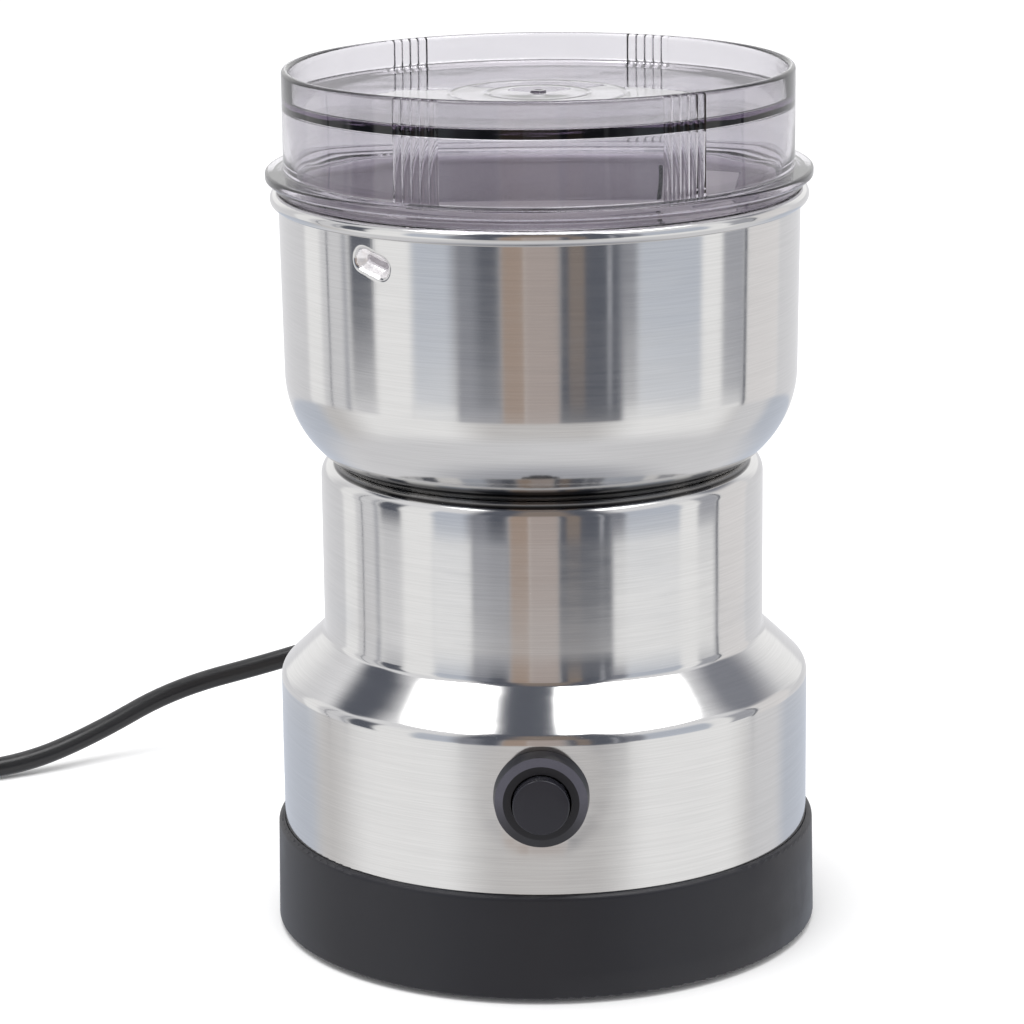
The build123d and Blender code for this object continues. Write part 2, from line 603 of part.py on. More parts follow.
# Motor's bottom bracket: cross-shaped plate with posts, bush boss and brush pads
with BuildPart() as motor_bottom_bracket:
    with BuildSketch(Plane.XY.offset(BRACKET_BOTTOM)) as plate:
        Rectangle(2 * (MOTOR_SCREW_X + MOTOR_POST_R), BRACKET_WIDTH)
        Rectangle(BRACKET_CROSS, 2 * HOLDER_SPAN[1])
        Circle(BRACKET_WIDTH)
        fillet(plate.vertices(), radius=2.0)
    extrude(amount=BRACKET_PLATE)
    with BuildSketch(Plane.XY.offset(BRACKET_TOP)):
        with Locations((MOTOR_SCREW_X, 0), (-MOTOR_SCREW_X, 0)):
            Circle(MOTOR_POST_R)
    extrude(amount=STACK_BOTTOM - BRACKET_TOP)
    pad_height = BRUSH_Z - BRUSH_SIZE[1] / 2 - HOLDER_WALL - BRACKET_TOP
    pad_length = HOLDER_SPAN[1] - HOLDER_SPAN[0] - 2.0
    with BuildSketch(Plane.XY.offset(BRACKET_TOP)):
        with Locations((0, HOLDER_SPAN[1] - pad_length / 2), (0, pad_length / 2 - HOLDER_SPAN[1])):
            Rectangle(BRUSH_SIZE[0] + 2 * HOLDER_WALL + 1.0, pad_length)
    extrude(amount=pad_height)
    with BuildSketch(Plane.XY.offset(BOSS_BOTTOM)):
        Circle(BUSH_R + BUSH_WALL)
    extrude(amount=BRACKET_BOTTOM - BOSS_BOTTOM)
    with BuildSketch(Plane.XY.offset(BUSH_BOTTOM)):
        Circle(BUSH_R)
    extrude(amount=BRACKET_TOP - BUSH_BOTTOM, mode=Mode.SUBTRACT)
    with BuildSketch(Plane.XY.offset(BOSS_BOTTOM)):
        Circle(BUSH_R - 1.5)
    extrude(amount=BUSH_BOTTOM - BOSS_BOTTOM, mode=Mode.SUBTRACT)
    with BuildSketch(Plane.XY.offset(BRACKET_BOTTOM)):
        with Locations((MOTOR_SCREW_X, 0), (-MOTOR_SCREW_X, 0)):
            Circle(MOTOR_SCREW_R)
    extrude(amount=STACK_BOTTOM - BRACKET_BOTTOM, mode=Mode.SUBTRACT)
finish(motor_bottom_bracket.part, "motor_bottom_bracket")

# Sintered bush for the shaft's lower journal
with BuildPart() as lower_bush:
    with BuildSketch(Plane.XY.offset(BUSH_BOTTOM)):
        Circle(BUSH_R)
        Circle(JOURNAL_R + RUNNING_GAP, mode=Mode.SUBTRACT)
    extrude(amount=BUSH_HEIGHT)
    chamfer(lower_bush.edges().group_by(Axis.Z)[-1].sort_by(SortBy.RADIUS)[-1], length=1.0)
finish(lower_bush.part, "lower_bush")

# Long motor screws, through the bottom bracket and the stack into the top bracket's legs
with BuildPart() as motor_screws:
    with BuildSketch(Plane.XY.offset(BRACKET_BOTTOM)):
        with Locations((MOTOR_SCREW_X, 0), (-MOTOR_SCREW_X, 0)):
            Circle(2 * MOTOR_SCREW_R - 0.4)
    extrude(amount=-2.6)
    with BuildSketch(Plane.XY.offset(BRACKET_BOTTOM)):
        with Locations((MOTOR_SCREW_X, 0), (-MOTOR_SCREW_X, 0)):
            Circle(MOTOR_SCREW_R)
    extrude(amount=STACK_TOP + MOTOR_SCREW_GRIP - BRACKET_BOTTOM)
finish(motor_screws.part, "motor_screws")

# Stator stack: laminations with two poles along X and a window each side of each pole
with BuildPart() as stator_core:
    with BuildSketch(Plane.XY.offset(STACK_BOTTOM)):
        RectangleRounded(STATOR_LENGTH, STATOR_WIDTH, STATOR_CORNER_R)
        Circle(STATOR_BORE_R, mode=Mode.SUBTRACT)
        window_x = (COIL_X[0] + COIL_X[1]) / 2
        window_width = COIL_X[1] - COIL_X[0] + 2 * FIT_GAP
        window_y = (POLE_HALF_WIDTH + COIL_HALF_WIDTH) / 2 + FIT_GAP
        window_height = COIL_HALF_WIDTH - POLE_HALF_WIDTH + 2 * FIT_GAP
        with GridLocations(2 * window_x, 2 * window_y, 2, 2):
            Rectangle(window_width, window_height, mode=Mode.SUBTRACT)
        with Locations((MOTOR_SCREW_X, 0), (-MOTOR_SCREW_X, 0)):
            Circle(MOTOR_SCREW_R + FIT_GAP, mode=Mode.SUBTRACT)
    extrude(amount=STACK_HEIGHT)
finish(stator_core.part, "stator_core")

# Field windings: one racetrack coil round each pole
with BuildPart() as field_windings:
    coil_height = STACK_HEIGHT + 2 * COIL_PROUD
    for coil_x in (COIL_X[0], -COIL_X[1]):
        with BuildSketch(Plane(origin=(coil_x, 0, (STACK_BOTTOM + STACK_TOP) / 2), x_dir=(0, 1, 0), z_dir=(1, 0, 0))):
            RectangleRounded(2 * COIL_HALF_WIDTH, coil_height, COIL_CORNER_R)
            Rectangle(2 * (POLE_HALF_WIDTH + FIT_GAP), STACK_HEIGHT + 2 * FIT_GAP, mode=Mode.SUBTRACT)
        extrude(amount=COIL_X[1] - COIL_X[0])
finish(field_windings.part, "field_windings")

# Rotor shaft: thin lower journal, thick middle and a threaded stub for the blade
with BuildPart() as rotor_shaft:
    add(
        ring_section(
            [
                (0, SHAFT_BOTTOM),
                (JOURNAL_R - 0.4, SHAFT_BOTTOM),
                (JOURNAL_R, SHAFT_BOTTOM + 0.4),
                (JOURNAL_R, JOURNAL_TOP),
                (SHAFT_R, JOURNAL_TOP),
                (SHAFT_R, BLADE_SEAT),
                (THREAD_R, BLADE_SEAT),
                (THREAD_R, SHAFT_TOP),
                (0, SHAFT_TOP),
            ]
        )
    )
    revolve(axis=Axis.Z)
finish(rotor_shaft.part, "rotor_shaft")

# Thrust washers between the shaft's shoulder and the bush
with BuildPart() as thrust_washers:
    for washer_z in (JOURNAL_TOP - WASHER - FIT_GAP / 2, JOURNAL_TOP - 2 * WASHER - FIT_GAP):
        with BuildSketch(Plane.XY.offset(washer_z)):
            Circle(2 * JOURNAL_R)
            Circle(JOURNAL_R, mode=Mode.SUBTRACT)
        extrude(amount=WASHER)
finish(thrust_washers.part, "thrust_washers")

# Armature core with its winding slots
with BuildPart() as armature_core:
    with BuildSketch(Plane.XY.offset(STACK_BOTTOM)):
        Circle(ARMATURE_R)
        Circle(SHAFT_R, mode=Mode.SUBTRACT)
        with PolarLocations(ARMATURE_R - SLOT_DEPTH / 2 + 0.5, ARMATURE_SLOTS):
            Rectangle(SLOT_DEPTH + 1.0, SLOT_WIDTH, mode=Mode.SUBTRACT)
    extrude(amount=STACK_HEIGHT)
finish(armature_core.part, "armature_core")

# Armature windings: the wire in the slots and the end turns above and below the core
with BuildPart() as armature_windings:
    with BuildSketch(Plane.XY.offset(STACK_BOTTOM)):
        with PolarLocations(ARMATURE_R - SLOT_DEPTH + WOUND_DEPTH / 2, ARMATURE_SLOTS):
            Rectangle(WOUND_DEPTH, SLOT_WIDTH)
    extrude(amount=STACK_HEIGHT)
    for bulge_plane, bulge_way in ((STACK_TOP, 1), (STACK_BOTTOM, -1)):
        with BuildSketch(Plane.XY.offset(bulge_plane)):
            Circle(BULGE_R)
            Circle(SHAFT_R, mode=Mode.SUBTRACT)
        extrude(amount=bulge_way * BULGE_HEIGHT)
    outer_rings = armature_windings.edges().filter_by(GeomType.CIRCLE).sort_by(SortBy.RADIUS)[-4:]
    fillet([outer_rings.sort_by(Axis.Z)[0], outer_rings.sort_by(Axis.Z)[-1]], radius=0.6 * BULGE_HEIGHT)
finish(armature_windings.part, "armature_windings")

# Commutator: copper bars parted by narrow slots
with BuildPart() as commutator:
    with BuildSketch(Plane.XY.offset(COMMUTATOR_BOTTOM)):
        Circle(COMMUTATOR_R)
        Circle(SHAFT_R, mode=Mode.SUBTRACT)
        with PolarLocations(COMMUTATOR_R, COMMUTATOR_BARS):
            Rectangle(2.4, 0.6, mode=Mode.SUBTRACT)
    extrude(amount=COMMUTATOR_TOP - COMMUTATOR_BOTTOM)
finish(commutator.part, "commutator")

# Cooling fan under the bottom bracket
with BuildPart() as cooling_fan:
    with BuildSketch(Plane.XY.offset(FAN_TOP)):
        Circle(FAN_R)
    extrude(amount=-FAN_DISC)
    with BuildSketch(Plane.XY.offset(FAN_TOP - FAN_HEIGHT)):
        Circle(JOURNAL_R + FAN_HUB)
        with PolarLocations((FAN_R + JOURNAL_R + FAN_HUB) / 2, FAN_VANES):
            with Locations(Location((0, 0), 12)):
                Rectangle(FAN_R - JOURNAL_R - FAN_HUB - 1.0, 1.4)
    extrude(amount=FAN_HEIGHT - FAN_DISC)
    with BuildSketch(Plane.XY.offset(FAN_TOP - FAN_HEIGHT)):
        Circle(JOURNAL_R)
    extrude(amount=FAN_HEIGHT, mode=Mode.SUBTRACT)
finish(cooling_fan.part, "cooling_fan")

# Circlip that keeps the shaft against the upper bearing
with BuildPart() as shaft_circlip:
    with BuildSketch(Plane.XY.offset(BEARING_BOTTOM - 1.2)):
        Circle(SHAFT_R + 2.2)
        Circle(SHAFT_R, mode=Mode.SUBTRACT)
        with Locations((SHAFT_R / 2, 0)):
            Rectangle(2 * SHAFT_R, 2.0, align=(Align.MIN, Align.CENTER), mode=Mode.SUBTRACT)
    extrude(amount=0.9)
finish(shaft_circlip.part, "shaft_circlip")

# Blade hub: a plastic skirt that throws grounds clear of the seal
with BuildPart() as blade_hub:
    hub_bottom = BOWL_FLOOR + SEAL_FLANGE + 2 * BODY_GAP
    add(
        ring_section(
            [
                (SHAFT_R, hub_bottom),
                (HUB_LOW_R, hub_bottom),
                (HUB_LOW_R, hub_bottom + 1.5),
                (HUB_HIGH_R, BLADE_SEAT),
                (SHAFT_R, BLADE_SEAT),
            ]
        )
    )
    revolve(axis=Axis.Z)
finish(blade_hub.part, "blade_hub")

# Grinding blade: a stamped cross, two tips bent up and two bent down
tip_rise = BLADE_TIP * tan(radians(BLADE_TIP_ANGLE))
blade_flat = BLADE_LENGTH - BLADE_TIP
with BuildPart() as blade_sheet:
    for turn, rise in ((0, tip_rise), (90, -tip_rise)):
        with BuildSketch(upright_plane(turn, BLADE_SEAT)):
            with BuildLine():
                Polyline(
                    (-BLADE_LENGTH, rise),
                    (-blade_flat, 0),
                    (blade_flat, 0),
                    (BLADE_LENGTH, rise),
                    (BLADE_LENGTH, rise + BLADE_THICK),
                    (blade_flat, BLADE_THICK),
                    (-blade_flat, BLADE_THICK),
                    (-BLADE_LENGTH, rise + BLADE_THICK),
                    close=True,
                )
            make_face()
        extrude(amount=HUB_HIGH_R + 2.5, both=True)

with BuildPart() as grinding_blade:
    with BuildSketch(Plane.XY.offset(BLADE_SEAT - tip_rise - BLADE_THICK)):
        for turn in (0, 90):
            SlotOverall(2 * BLADE_LENGTH, BLADE_WIDTH, rotation=turn)
        Circle(HUB_HIGH_R + 2.5)
    extrude(amount=2 * (tip_rise + BLADE_THICK) + BLADE_THICK)
    add(blade_sheet.part, mode=Mode.INTERSECT)
    with BuildSketch(Plane.XY.offset(BLADE_SEAT)):
        Circle(THREAD_R)
    extrude(amount=BLADE_THICK, mode=Mode.SUBTRACT)
finish(grinding_blade.part, "grinding_blade")

# Domed blade nut
with BuildPart() as blade_nut:
    with BuildSketch(Plane.XY.offset(BLADE_SEAT + BLADE_THICK)):
        RegularPolygon(radius=NUT_R, side_count=6)
    extrude(amount=NUT_HEIGHT)
    with BuildSketch(Plane.XY.offset(BLADE_SEAT + BLADE_THICK)):
        Circle(THREAD_R)
    extrude(amount=SHAFT_TOP - BLADE_SEAT - BLADE_THICK, mode=Mode.SUBTRACT)
    chamfer(blade_nut.faces().sort_by(Axis.Z)[-1].edges(), length=NUT_CAP - FIT_GAP)
finish(blade_nut.part, "blade_nut")

# Brush holders: square tubes on the bottom bracket, closed at their outer ends
holder_outer = (BRUSH_SIZE[0] + 2 * HOLDER_WALL, BRUSH_SIZE[1] + 2 * HOLDER_WALL)
with BuildPart() as brush_holders:
    for way in (1, -1):
        with BuildSketch(Plane(origin=(0, way * HOLDER_SPAN[0], BRUSH_Z), x_dir=(1, 0, 0), z_dir=(0, way, 0))):
            Rectangle(*holder_outer)
        extrude(amount=HOLDER_SPAN[1] - HOLDER_SPAN[0])
        with BuildSketch(Plane(origin=(0, way * HOLDER_SPAN[0], BRUSH_Z), x_dir=(1, 0, 0), z_dir=(0, way, 0))):
            Rectangle(BRUSH_SIZE[0] + FIT_GAP, BRUSH_SIZE[1] + FIT_GAP)
        extrude(amount=HOLDER_SPAN[1] - HOLDER_SPAN[0] - HOLDER_WALL, mode=Mode.SUBTRACT)
finish(brush_holders.part, "brush_holders")

# Carbon brushes, hollowed to the commutator's curve
brush_end = COMMUTATOR_R + BRUSH_LENGTH
with BuildPart() as carbon_brushes:
    for way in (1, -1):
        with BuildSketch(Plane(origin=(0, way * (COMMUTATOR_R - 1), BRUSH_Z), x_dir=(1, 0, 0), z_dir=(0, way, 0))):
            Rectangle(*BRUSH_SIZE)
        extrude(amount=BRUSH_LENGTH + 1)
    with Locations((0, 0, BRUSH_Z)):
        Cylinder(radius=COMMUTATOR_R + SLIDE_GAP, height=2 * BRUSH_SIZE[1], mode=Mode.SUBTRACT)
finish(carbon_brushes.part, "carbon_brushes")

# Brush springs between each brush and its holder's end
brush_spring_length = HOLDER_SPAN[1] - HOLDER_WALL - brush_end
brush_spring = helix_spring(SPRING_WIRE, BRUSH_SIZE[0] / 2 - 0.4, brush_spring_length, 4)
with BuildPart() as brush_springs:
    for way in (1, -1):
        with Locations(Plane(origin=(0, way * brush_end, BRUSH_Z), x_dir=(1, 0, 0), z_dir=(0, way, 0))):
            add(brush_spring)
finish(brush_springs.part, "brush_springs")

# Suppression capacitor on the bottom bracket, and thermal fuse under a field winding
with BuildPart() as suppression_capacitor:
    with Locations((COMMUTATOR_R + 7.2, 0, BRACKET_TOP)):
        Box(*CAPACITOR, align=(Align.CENTER, Align.CENTER, Align.MIN))
    fillet(suppression_capacitor.edges().filter_by(Axis.Z), radius=0.8)
finish(suppression_capacitor.part, "suppression_capacitor")

with BuildPart() as thermal_fuse:
    fuse_z = STACK_BOTTOM - COIL_PROUD - FUSE_R - FIT_GAP
    with BuildSketch(Plane(origin=(-(COIL_X[0] + COIL_X[1]) / 2, -5.0, fuse_z), z_dir=(0, 1, 0))):
        Circle(FUSE_R)
    extrude(amount=10.0)
finish(thermal_fuse.part, "thermal_fuse")

# The body's round wall, less the barrel's hole, that the bezel's back is shaped to
with BuildPart() as bezel_saddle:
    with BuildSketch(Plane.XY.offset(SWITCH_Z - 2 * BEZEL_R)):
        Circle(BODY_R + SEAT_GAP)
        Circle(SHELL_INNER_R - SHEET / 2, mode=Mode.SUBTRACT)
    extrude(amount=4 * BEZEL_R)
    with BuildSketch(SWITCH_PLANE.offset(BEZEL_R)):
        Circle(BARREL_R)
    extrude(amount=-4 * BEZEL_R, mode=Mode.SUBTRACT)

# Switch bezel: ring on the body's front, with a threaded barrel and the button's well
with BuildPart() as switch_bezel:
    with BuildSketch(Plane.YZ) as bezel_profile:
        front = BODY_R
        with BuildLine():
            Polyline(
                (-front + BARREL_LENGTH, SWITCH_Z + BARREL_R),
                (-front + 1.2, SWITCH_Z + BARREL_R),
                (-front + 1.2, SWITCH_Z + BEZEL_R),
                (-front - 0.6, SWITCH_Z + BEZEL_R),
                (-front - BEZEL_RIM, SWITCH_Z + BEZEL_RIM_R),
                (-front - BEZEL_HEIGHT + 0.1, SWITCH_Z + BEZEL_FACE_R),
                (-front - BEZEL_HEIGHT, SWITCH_Z + WELL_R),
                (-front + WELL_DEPTH, SWITCH_Z + WELL_R),
                (-front + WELL_DEPTH, SWITCH_Z + PLUNGER_R + SLIDE_GAP),
                (-front + BARREL_LENGTH, SWITCH_Z + PLUNGER_R + SLIDE_GAP),
                close=True,
            )
        make_face()
    revolve(axis=Axis((0, 0, SWITCH_Z), (0, 1, 0)))
    add(bezel_saddle.part, mode=Mode.SUBTRACT)
finish(switch_bezel.part, "switch_bezel")

# Hexagonal nut behind the body's wall
with BuildPart() as switch_nut:
    with BuildSketch(SWITCH_PLANE.offset(-SWITCH_NUT[0])):
        RegularPolygon(radius=NUT_AF / 2, side_count=6, major_radius=False)
        Circle(BARREL_R, mode=Mode.SUBTRACT)
    extrude(amount=-SWITCH_NUT[1])
finish(switch_nut.part, "switch_nut")

# Switch housing behind the barrel, hollow for the contacts
with BuildPart() as switch_housing:
    with BuildSketch(SWITCH_PLANE.offset(-BARREL_LENGTH)):
        RectangleRounded(HOUSING_SIZE, HOUSING_SIZE, 1.5)
    extrude(amount=-HOUSING_LENGTH)
    with BuildSketch(SWITCH_PLANE.offset(-BARREL_LENGTH)):
        Rectangle(HOUSING_SIZE - 2.4, HOUSING_SIZE - 5.0)
    extrude(amount=-CAVITY_LENGTH, mode=Mode.SUBTRACT)
    with BuildSketch(SWITCH_PLANE.offset(-BARREL_LENGTH - CAVITY_LENGTH)):
        with Locations((TERMINAL_X, 0), (-TERMINAL_X, 0)):
            Rectangle(*TERMINAL)
    extrude(amount=-HOUSING_LENGTH, mode=Mode.SUBTRACT)
finish(switch_housing.part, "switch_housing")

# Terminals: a contact pad inside the housing and a blade out of its back
with BuildPart() as switch_terminals:
    with BuildSketch(SWITCH_PLANE.offset(-PAD_DEPTH)):
        with Locations((TERMINAL_X, 0), (-TERMINAL_X, 0)):
            Rectangle(*TERMINAL)
    extrude(amount=-(BARREL_LENGTH + HOUSING_LENGTH + TERMINAL_REACH - PAD_DEPTH))
    with BuildSketch(SWITCH_PLANE.offset(-PAD_DEPTH)):
        with Locations((TERMINAL_X - 0.6, 0), (-TERMINAL_X + 0.6, 0)):
            Rectangle(2.0, TERMINAL[1])
    extrude(amount=-0.8)
finish(switch_terminals.part, "switch_terminals")

# Button cap with its plunger
with BuildPart() as button_cap:
    with BuildSketch(SWITCH_PLANE.offset(CAP_PROUD)):
        Circle(CAP_R)
    extrude(amount=-(CAP_PROUD + CAP_SKIRT))
    fillet(button_cap.edges().group_by(Axis.Y)[0], radius=0.35)
    with BuildSketch(SWITCH_PLANE.offset(-CAP_SKIRT)):
        Circle(CAP_R - CAP_WALL)
    extrude(amount=CAP_PROUD + CAP_SKIRT - CAP_TOP, mode=Mode.SUBTRACT)
    with BuildSketch(SWITCH_PLANE.offset(CAP_PROUD - CAP_TOP)):
        Circle(PLUNGER_R)
    extrude(amount=-(CAP_PROUD - CAP_TOP + PLUNGER_END))
finish(button_cap.part, "button_cap")

# Contact bridge carried on the plunger's end
with BuildPart() as contact_bridge:
    with BuildSketch(SWITCH_PLANE.offset(-PLUNGER_END)):
        Rectangle(CONTACT[0], CONTACT[1])
    extrude(amount=-CONTACT[2])
finish(contact_bridge.part, "contact_bridge")

# Return spring between the well's floor and the cap
with BuildPart() as button_spring:
    with Locations(SWITCH_PLANE.offset(-WELL_DEPTH)):
        add(helix_spring(SPRING_WIRE, SPRING_R, WELL_DEPTH + CAP_PROUD - CAP_TOP, SPRING_TURNS))
finish(button_spring.part, "button_spring")

# Bayonet slots in the lid's skirt: an open mouth for each lug, and a leg to one side over a lip
lid_inner_r = LID_R - LID_WALL
slot_half = degrees((LUG_R + SLOT_SIDE_GAP) / SKIRT_R)
slot_top = LUG_Z + LUG_R + SLOT_SIDE_GAP
with BuildPart() as lid_slots:
    for side in (0, 180):
        first_edge = LUG_AZIMUTH - 90 + side - slot_half
        for low_z, start, arc in (
            (SKIRT_BOTTOM - 1.0, first_edge, 2 * slot_half),
            (SKIRT_BOTTOM + SLOT_LIP, first_edge - SLOT_LEG_ANGLE, 2 * slot_half),
        ):
            with BuildSketch(upright_plane(start, 0)):
                with Locations(((SKIRT_R + lid_inner_r) / 2, (low_z + slot_top) / 2)):
                    Rectangle(SKIRT_R - lid_inner_r + 2.0, slot_top - low_z)
            revolve(axis=Axis.Z, revolution_arc=arc)

# Lid: clear ring with a sunk top disc, a flange, and a skirt that reaches into the bowl
with BuildPart() as lid:
    with BuildSketch(Plane.XZ) as lid_profile:
        with BuildLine():
            Polyline(
                (0, LID_DISC_TOP - LID_DISC),
                (0, LID_DISC_TOP),
                (lid_inner_r, LID_DISC_TOP),
                (lid_inner_r, LID_TOP),
                (LID_R, LID_TOP),
                (LID_R, FLANGE_TOP),
                (FLANGE_R, FLANGE_TOP),
                (FLANGE_R, FLANGE_BOTTOM),
                (FLANGE_LIP_R, FLANGE_BOTTOM),
                (FLANGE_LIP_R, LIP_BOTTOM),
                (SKIRT_R, LIP_BOTTOM),
                (SKIRT_R, SKIRT_BOTTOM),
                (SKIRT_R - SKIRT_WALL, SKIRT_BOTTOM),
                (SKIRT_R - SKIRT_WALL, LIP_BOTTOM + 0.5),
                (lid_inner_r, FLANGE_BOTTOM),
                (lid_inner_r, LID_DISC_TOP - LID_DISC),
                close=True,
            )
        make_face()
        fillet(lid_profile.vertices().group_by(Axis.Y)[-1], radius=LID_RIM_FILLET)
        fillet(lid_profile.vertices().group_by(Axis.X)[-1], radius=0.6)
    revolve(axis=Axis.Z)
    with BuildSketch(Plane.XY.offset(LID_DISC_TOP)):
        for ring_r in RING_RADII:
            Circle(ring_r)
            Circle(ring_r - RING_WIDTH, mode=Mode.SUBTRACT)
        Circle(GATE_R)
    extrude(amount=RING_HEIGHT)
    with BuildSketch(Plane.XY.offset(FLANGE_TOP)):
        for group_angle in FLUTE_GROUPS:
            first = group_angle - 90 - FLUTE_PITCH * (FLUTES_PER_GROUP - 1) / 2
            with PolarLocations(
                LID_R + FLUTE_R - FLUTE_DEPTH, FLUTES_PER_GROUP, start_angle=first,
                angular_range=FLUTE_PITCH * (FLUTES_PER_GROUP - 1), endpoint=True,
            ):
                Circle(FLUTE_R)
    extrude(amount=LID_TOP - FLANGE_TOP, mode=Mode.SUBTRACT)
    add(lid_slots.part, mode=Mode.SUBTRACT)
finish(lid.part, "lid")

# The body's round wall, less the boot's hole, that the boot's groove is shaped to
with BuildPart() as boot_saddle:
    with BuildSketch(Plane.XY.offset(BOOT_Z - 2 * BOOT_COLLAR_R)):
        Circle(BODY_R + SEAT_GAP)
        Circle(SHELL_INNER_R - 2 * SEAT_GAP, mode=Mode.SUBTRACT)
    extrude(amount=4 * BOOT_COLLAR_R)
    with BuildSketch(Plane(origin=(0, SHELL_INNER_R - BOOT_COLLAR_R, BOOT_Z), z_dir=(0, 1, 0))):
        Circle(BOOT_HOLE_R - FIT_GAP)
    extrude(amount=2 * BOOT_COLLAR_R, mode=Mode.SUBTRACT)

# Strain relief: a moulded boot on the lead, seated in the body's rear hole
with BuildPart() as cord_boot:
    with BuildSketch(Plane.YZ):
        boot_inner_y = SHELL_INNER_R - 3.4
        groove_pitch = 4.0
        taper = (BOOT_TIP_R - 4.7) / (BOOT_TIP_Y - BODY_R - 3.0)
        with BuildLine():
            outline = [
                (boot_inner_y, 0),
                (boot_inner_y, BOOT_COLLAR_R),
                (boot_inner_y + 2.5, BOOT_COLLAR_R),
                (boot_inner_y + 2.5, BOOT_HOLE_R - FIT_GAP),
                (BODY_R - 0.5, BOOT_HOLE_R - FIT_GAP),
                (BODY_R - 0.5, BOOT_COLLAR_R),
                (BODY_R + 2.2, BOOT_COLLAR_R),
                (BODY_R + 3.0, BOOT_COLLAR_R - 0.8),
                (BODY_R + 3.0, 4.7),
            ]
            for groove in range(4):
                groove_y = BODY_R + 5.0 + groove * groove_pitch
                outer = 4.7 + taper * (groove_y - BODY_R - 3.0)
                outline += [
                    (groove_y, outer),
                    (groove_y, outer - 0.8),
                    (groove_y + 1.4, outer - 0.8),
                    (groove_y + 1.4, outer + taper * 1.4),
                ]
            outline += [(BOOT_TIP_Y, BOOT_TIP_R), (BOOT_TIP_Y, 0)]
            Polyline(*[(y, BOOT_Z + r) for y, r in outline], close=True)
        make_face()
    revolve(axis=Axis((0, 0, BOOT_Z), (0, 1, 0)))
    add(boot_saddle.part, mode=Mode.SUBTRACT)
finish(cord_boot.part, "cord_boot")

# Lead inside the body, its two cores and the wire from the switch to a brush
inner_end_y = SHELL_INNER_R - INNER_LEAD
wire_bend = 2.5
blade_y = -BODY_R + BARREL_LENGTH + HOUSING_LENGTH + TERMINAL_REACH / 2
wire_r = SHELL_INNER_R - WIRE_INSET
holder_side = holder_outer[0] / 2
WIRE_ROUTES = [
    [
        (1.2, inner_end_y, BOOT_Z),
        (1.2, inner_end_y - 5.6, BOOT_Z),
        (18.0, inner_end_y - 3.6, BRUSH_Z),
        (wire_r * 0.88, wire_r * 0.48, BRUSH_Z - 3.0),
        (wire_r, 0.0, BRUSH_Z - 3.0),
        (wire_r * 0.88, -wire_r * 0.48, BRUSH_Z - 1.0),
        (20.0, blade_y, SWITCH_Z),
        (TERMINAL_X + TERMINAL[0] / 2, blade_y, SWITCH_Z),
    ],
    [
        (-TERMINAL_X - TERMINAL[0] / 2, blade_y, SWITCH_Z),
        (-15.0, blade_y, SWITCH_Z),
        (-15.0, -18.0, BRUSH_Z),
        (-holder_side, -18.0, BRUSH_Z),
    ],
    [
        (-1.2, inner_end_y, BOOT_Z),
        (-1.2, inner_end_y - 5.6, BOOT_Z),
        (-14.0, inner_end_y - 8.0, BRUSH_Z),
        (-14.0, 18.0, BRUSH_Z),
        (-holder_side, 18.0, BRUSH_Z),
    ],
]
with BuildPart() as internal_wiring:
    for route in WIRE_ROUTES:
        with BuildLine() as wire_path:
            FilletPolyline(*route, radius=[wire_bend] * (len(route) - 2))
        with BuildSketch(Plane(origin=wire_path.line @ 0, z_dir=wire_path.line % 0)):
            Circle(WIRE_R)
        sweep(path=wire_path.line)
    with BuildSketch(Plane(origin=(0, inner_end_y, BOOT_Z), z_dir=(0, 1, 0))):
        Circle(CORD_D / 2)
    extrude(amount=boot_inner_y - inner_end_y)
finish(internal_wiring.part, "internal_wiring")


def corner_radii(points, share):
    """The largest radius that each inner corner's two runs allow."""
    radii = []
    for before, corner, after in zip(points[:-2], points[1:-1], points[2:]):
        run_in = Vector(corner) - Vector(before)
        run_out = Vector(after) - Vector(corner)
        turn = radians(run_in.get_angle(run_out))
        radii.append(share * min(run_in.length, run_out.length) / tan(turn / 2))
    return radii


# Mains lead from the boot to the coil, lying down onto the table
cord_radii = corner_radii(CORD_POINTS, CORD_SHARE)
with BuildPart() as power_cord:
    with BuildLine() as cord_path:
        FilletPolyline(*CORD_POINTS, radius=cord_radii)
    with BuildSketch(Plane(origin=cord_path.line @ 0, z_dir=cord_path.line % 0)):
        Circle(CORD_D / 2)
    sweep()
cord_length = sum(edge.length for edge in cord_path.edges())
print("cord radii", [round(r, 1) for r in cord_radii])
print("cord length", round(cord_length, 1), "volume / (section x length)",
      round(power_cord.part.volume / (cord_length * pi * CORD_D**2 / 4), 4))
finish(power_cord.part, "power_cord")

# Coil: the spare lead wound in two layers, spiralling in and out again
coil_end = Vector(CORD_POINTS[-1])
coil_centre = Vector(coil_end.X - CORD_D, coil_end.Y - COIL_START_R, coil_end.Z)


def coil_point(turns):
    """A point of the coil's centre line, after so many turns from its start."""
    climb_start = COIL_FIRST_LAYER_TURNS - 0.25
    step = min(max((turns - climb_start) / 0.5, 0.0), 1.0)
    height = COIL_LAYER * (3 * step**2 - 2 * step**3)
    inward = COIL_FIRST_LAYER_TURNS - abs(turns - COIL_FIRST_LAYER_TURNS)
    radius = COIL_START_R - COIL_PITCH * inward
    angle = 2 * pi * turns + pi / 2
    return coil_centre + Vector(radius * cos(angle), radius * sin(angle), height)


def coil_direction(turns, last):
    """The coil's direction there, made square at its two ends and level where it turns back."""
    if turns in (0, last, COIL_FIRST_LAYER_TURNS):
        angle = 2 * pi * turns + pi / 2
        return Vector(-sin(angle), cos(angle), 0)
    small = 0.001
    ahead = coil_point(turns + small) - coil_point(turns - small)
    return ahead.normalized()


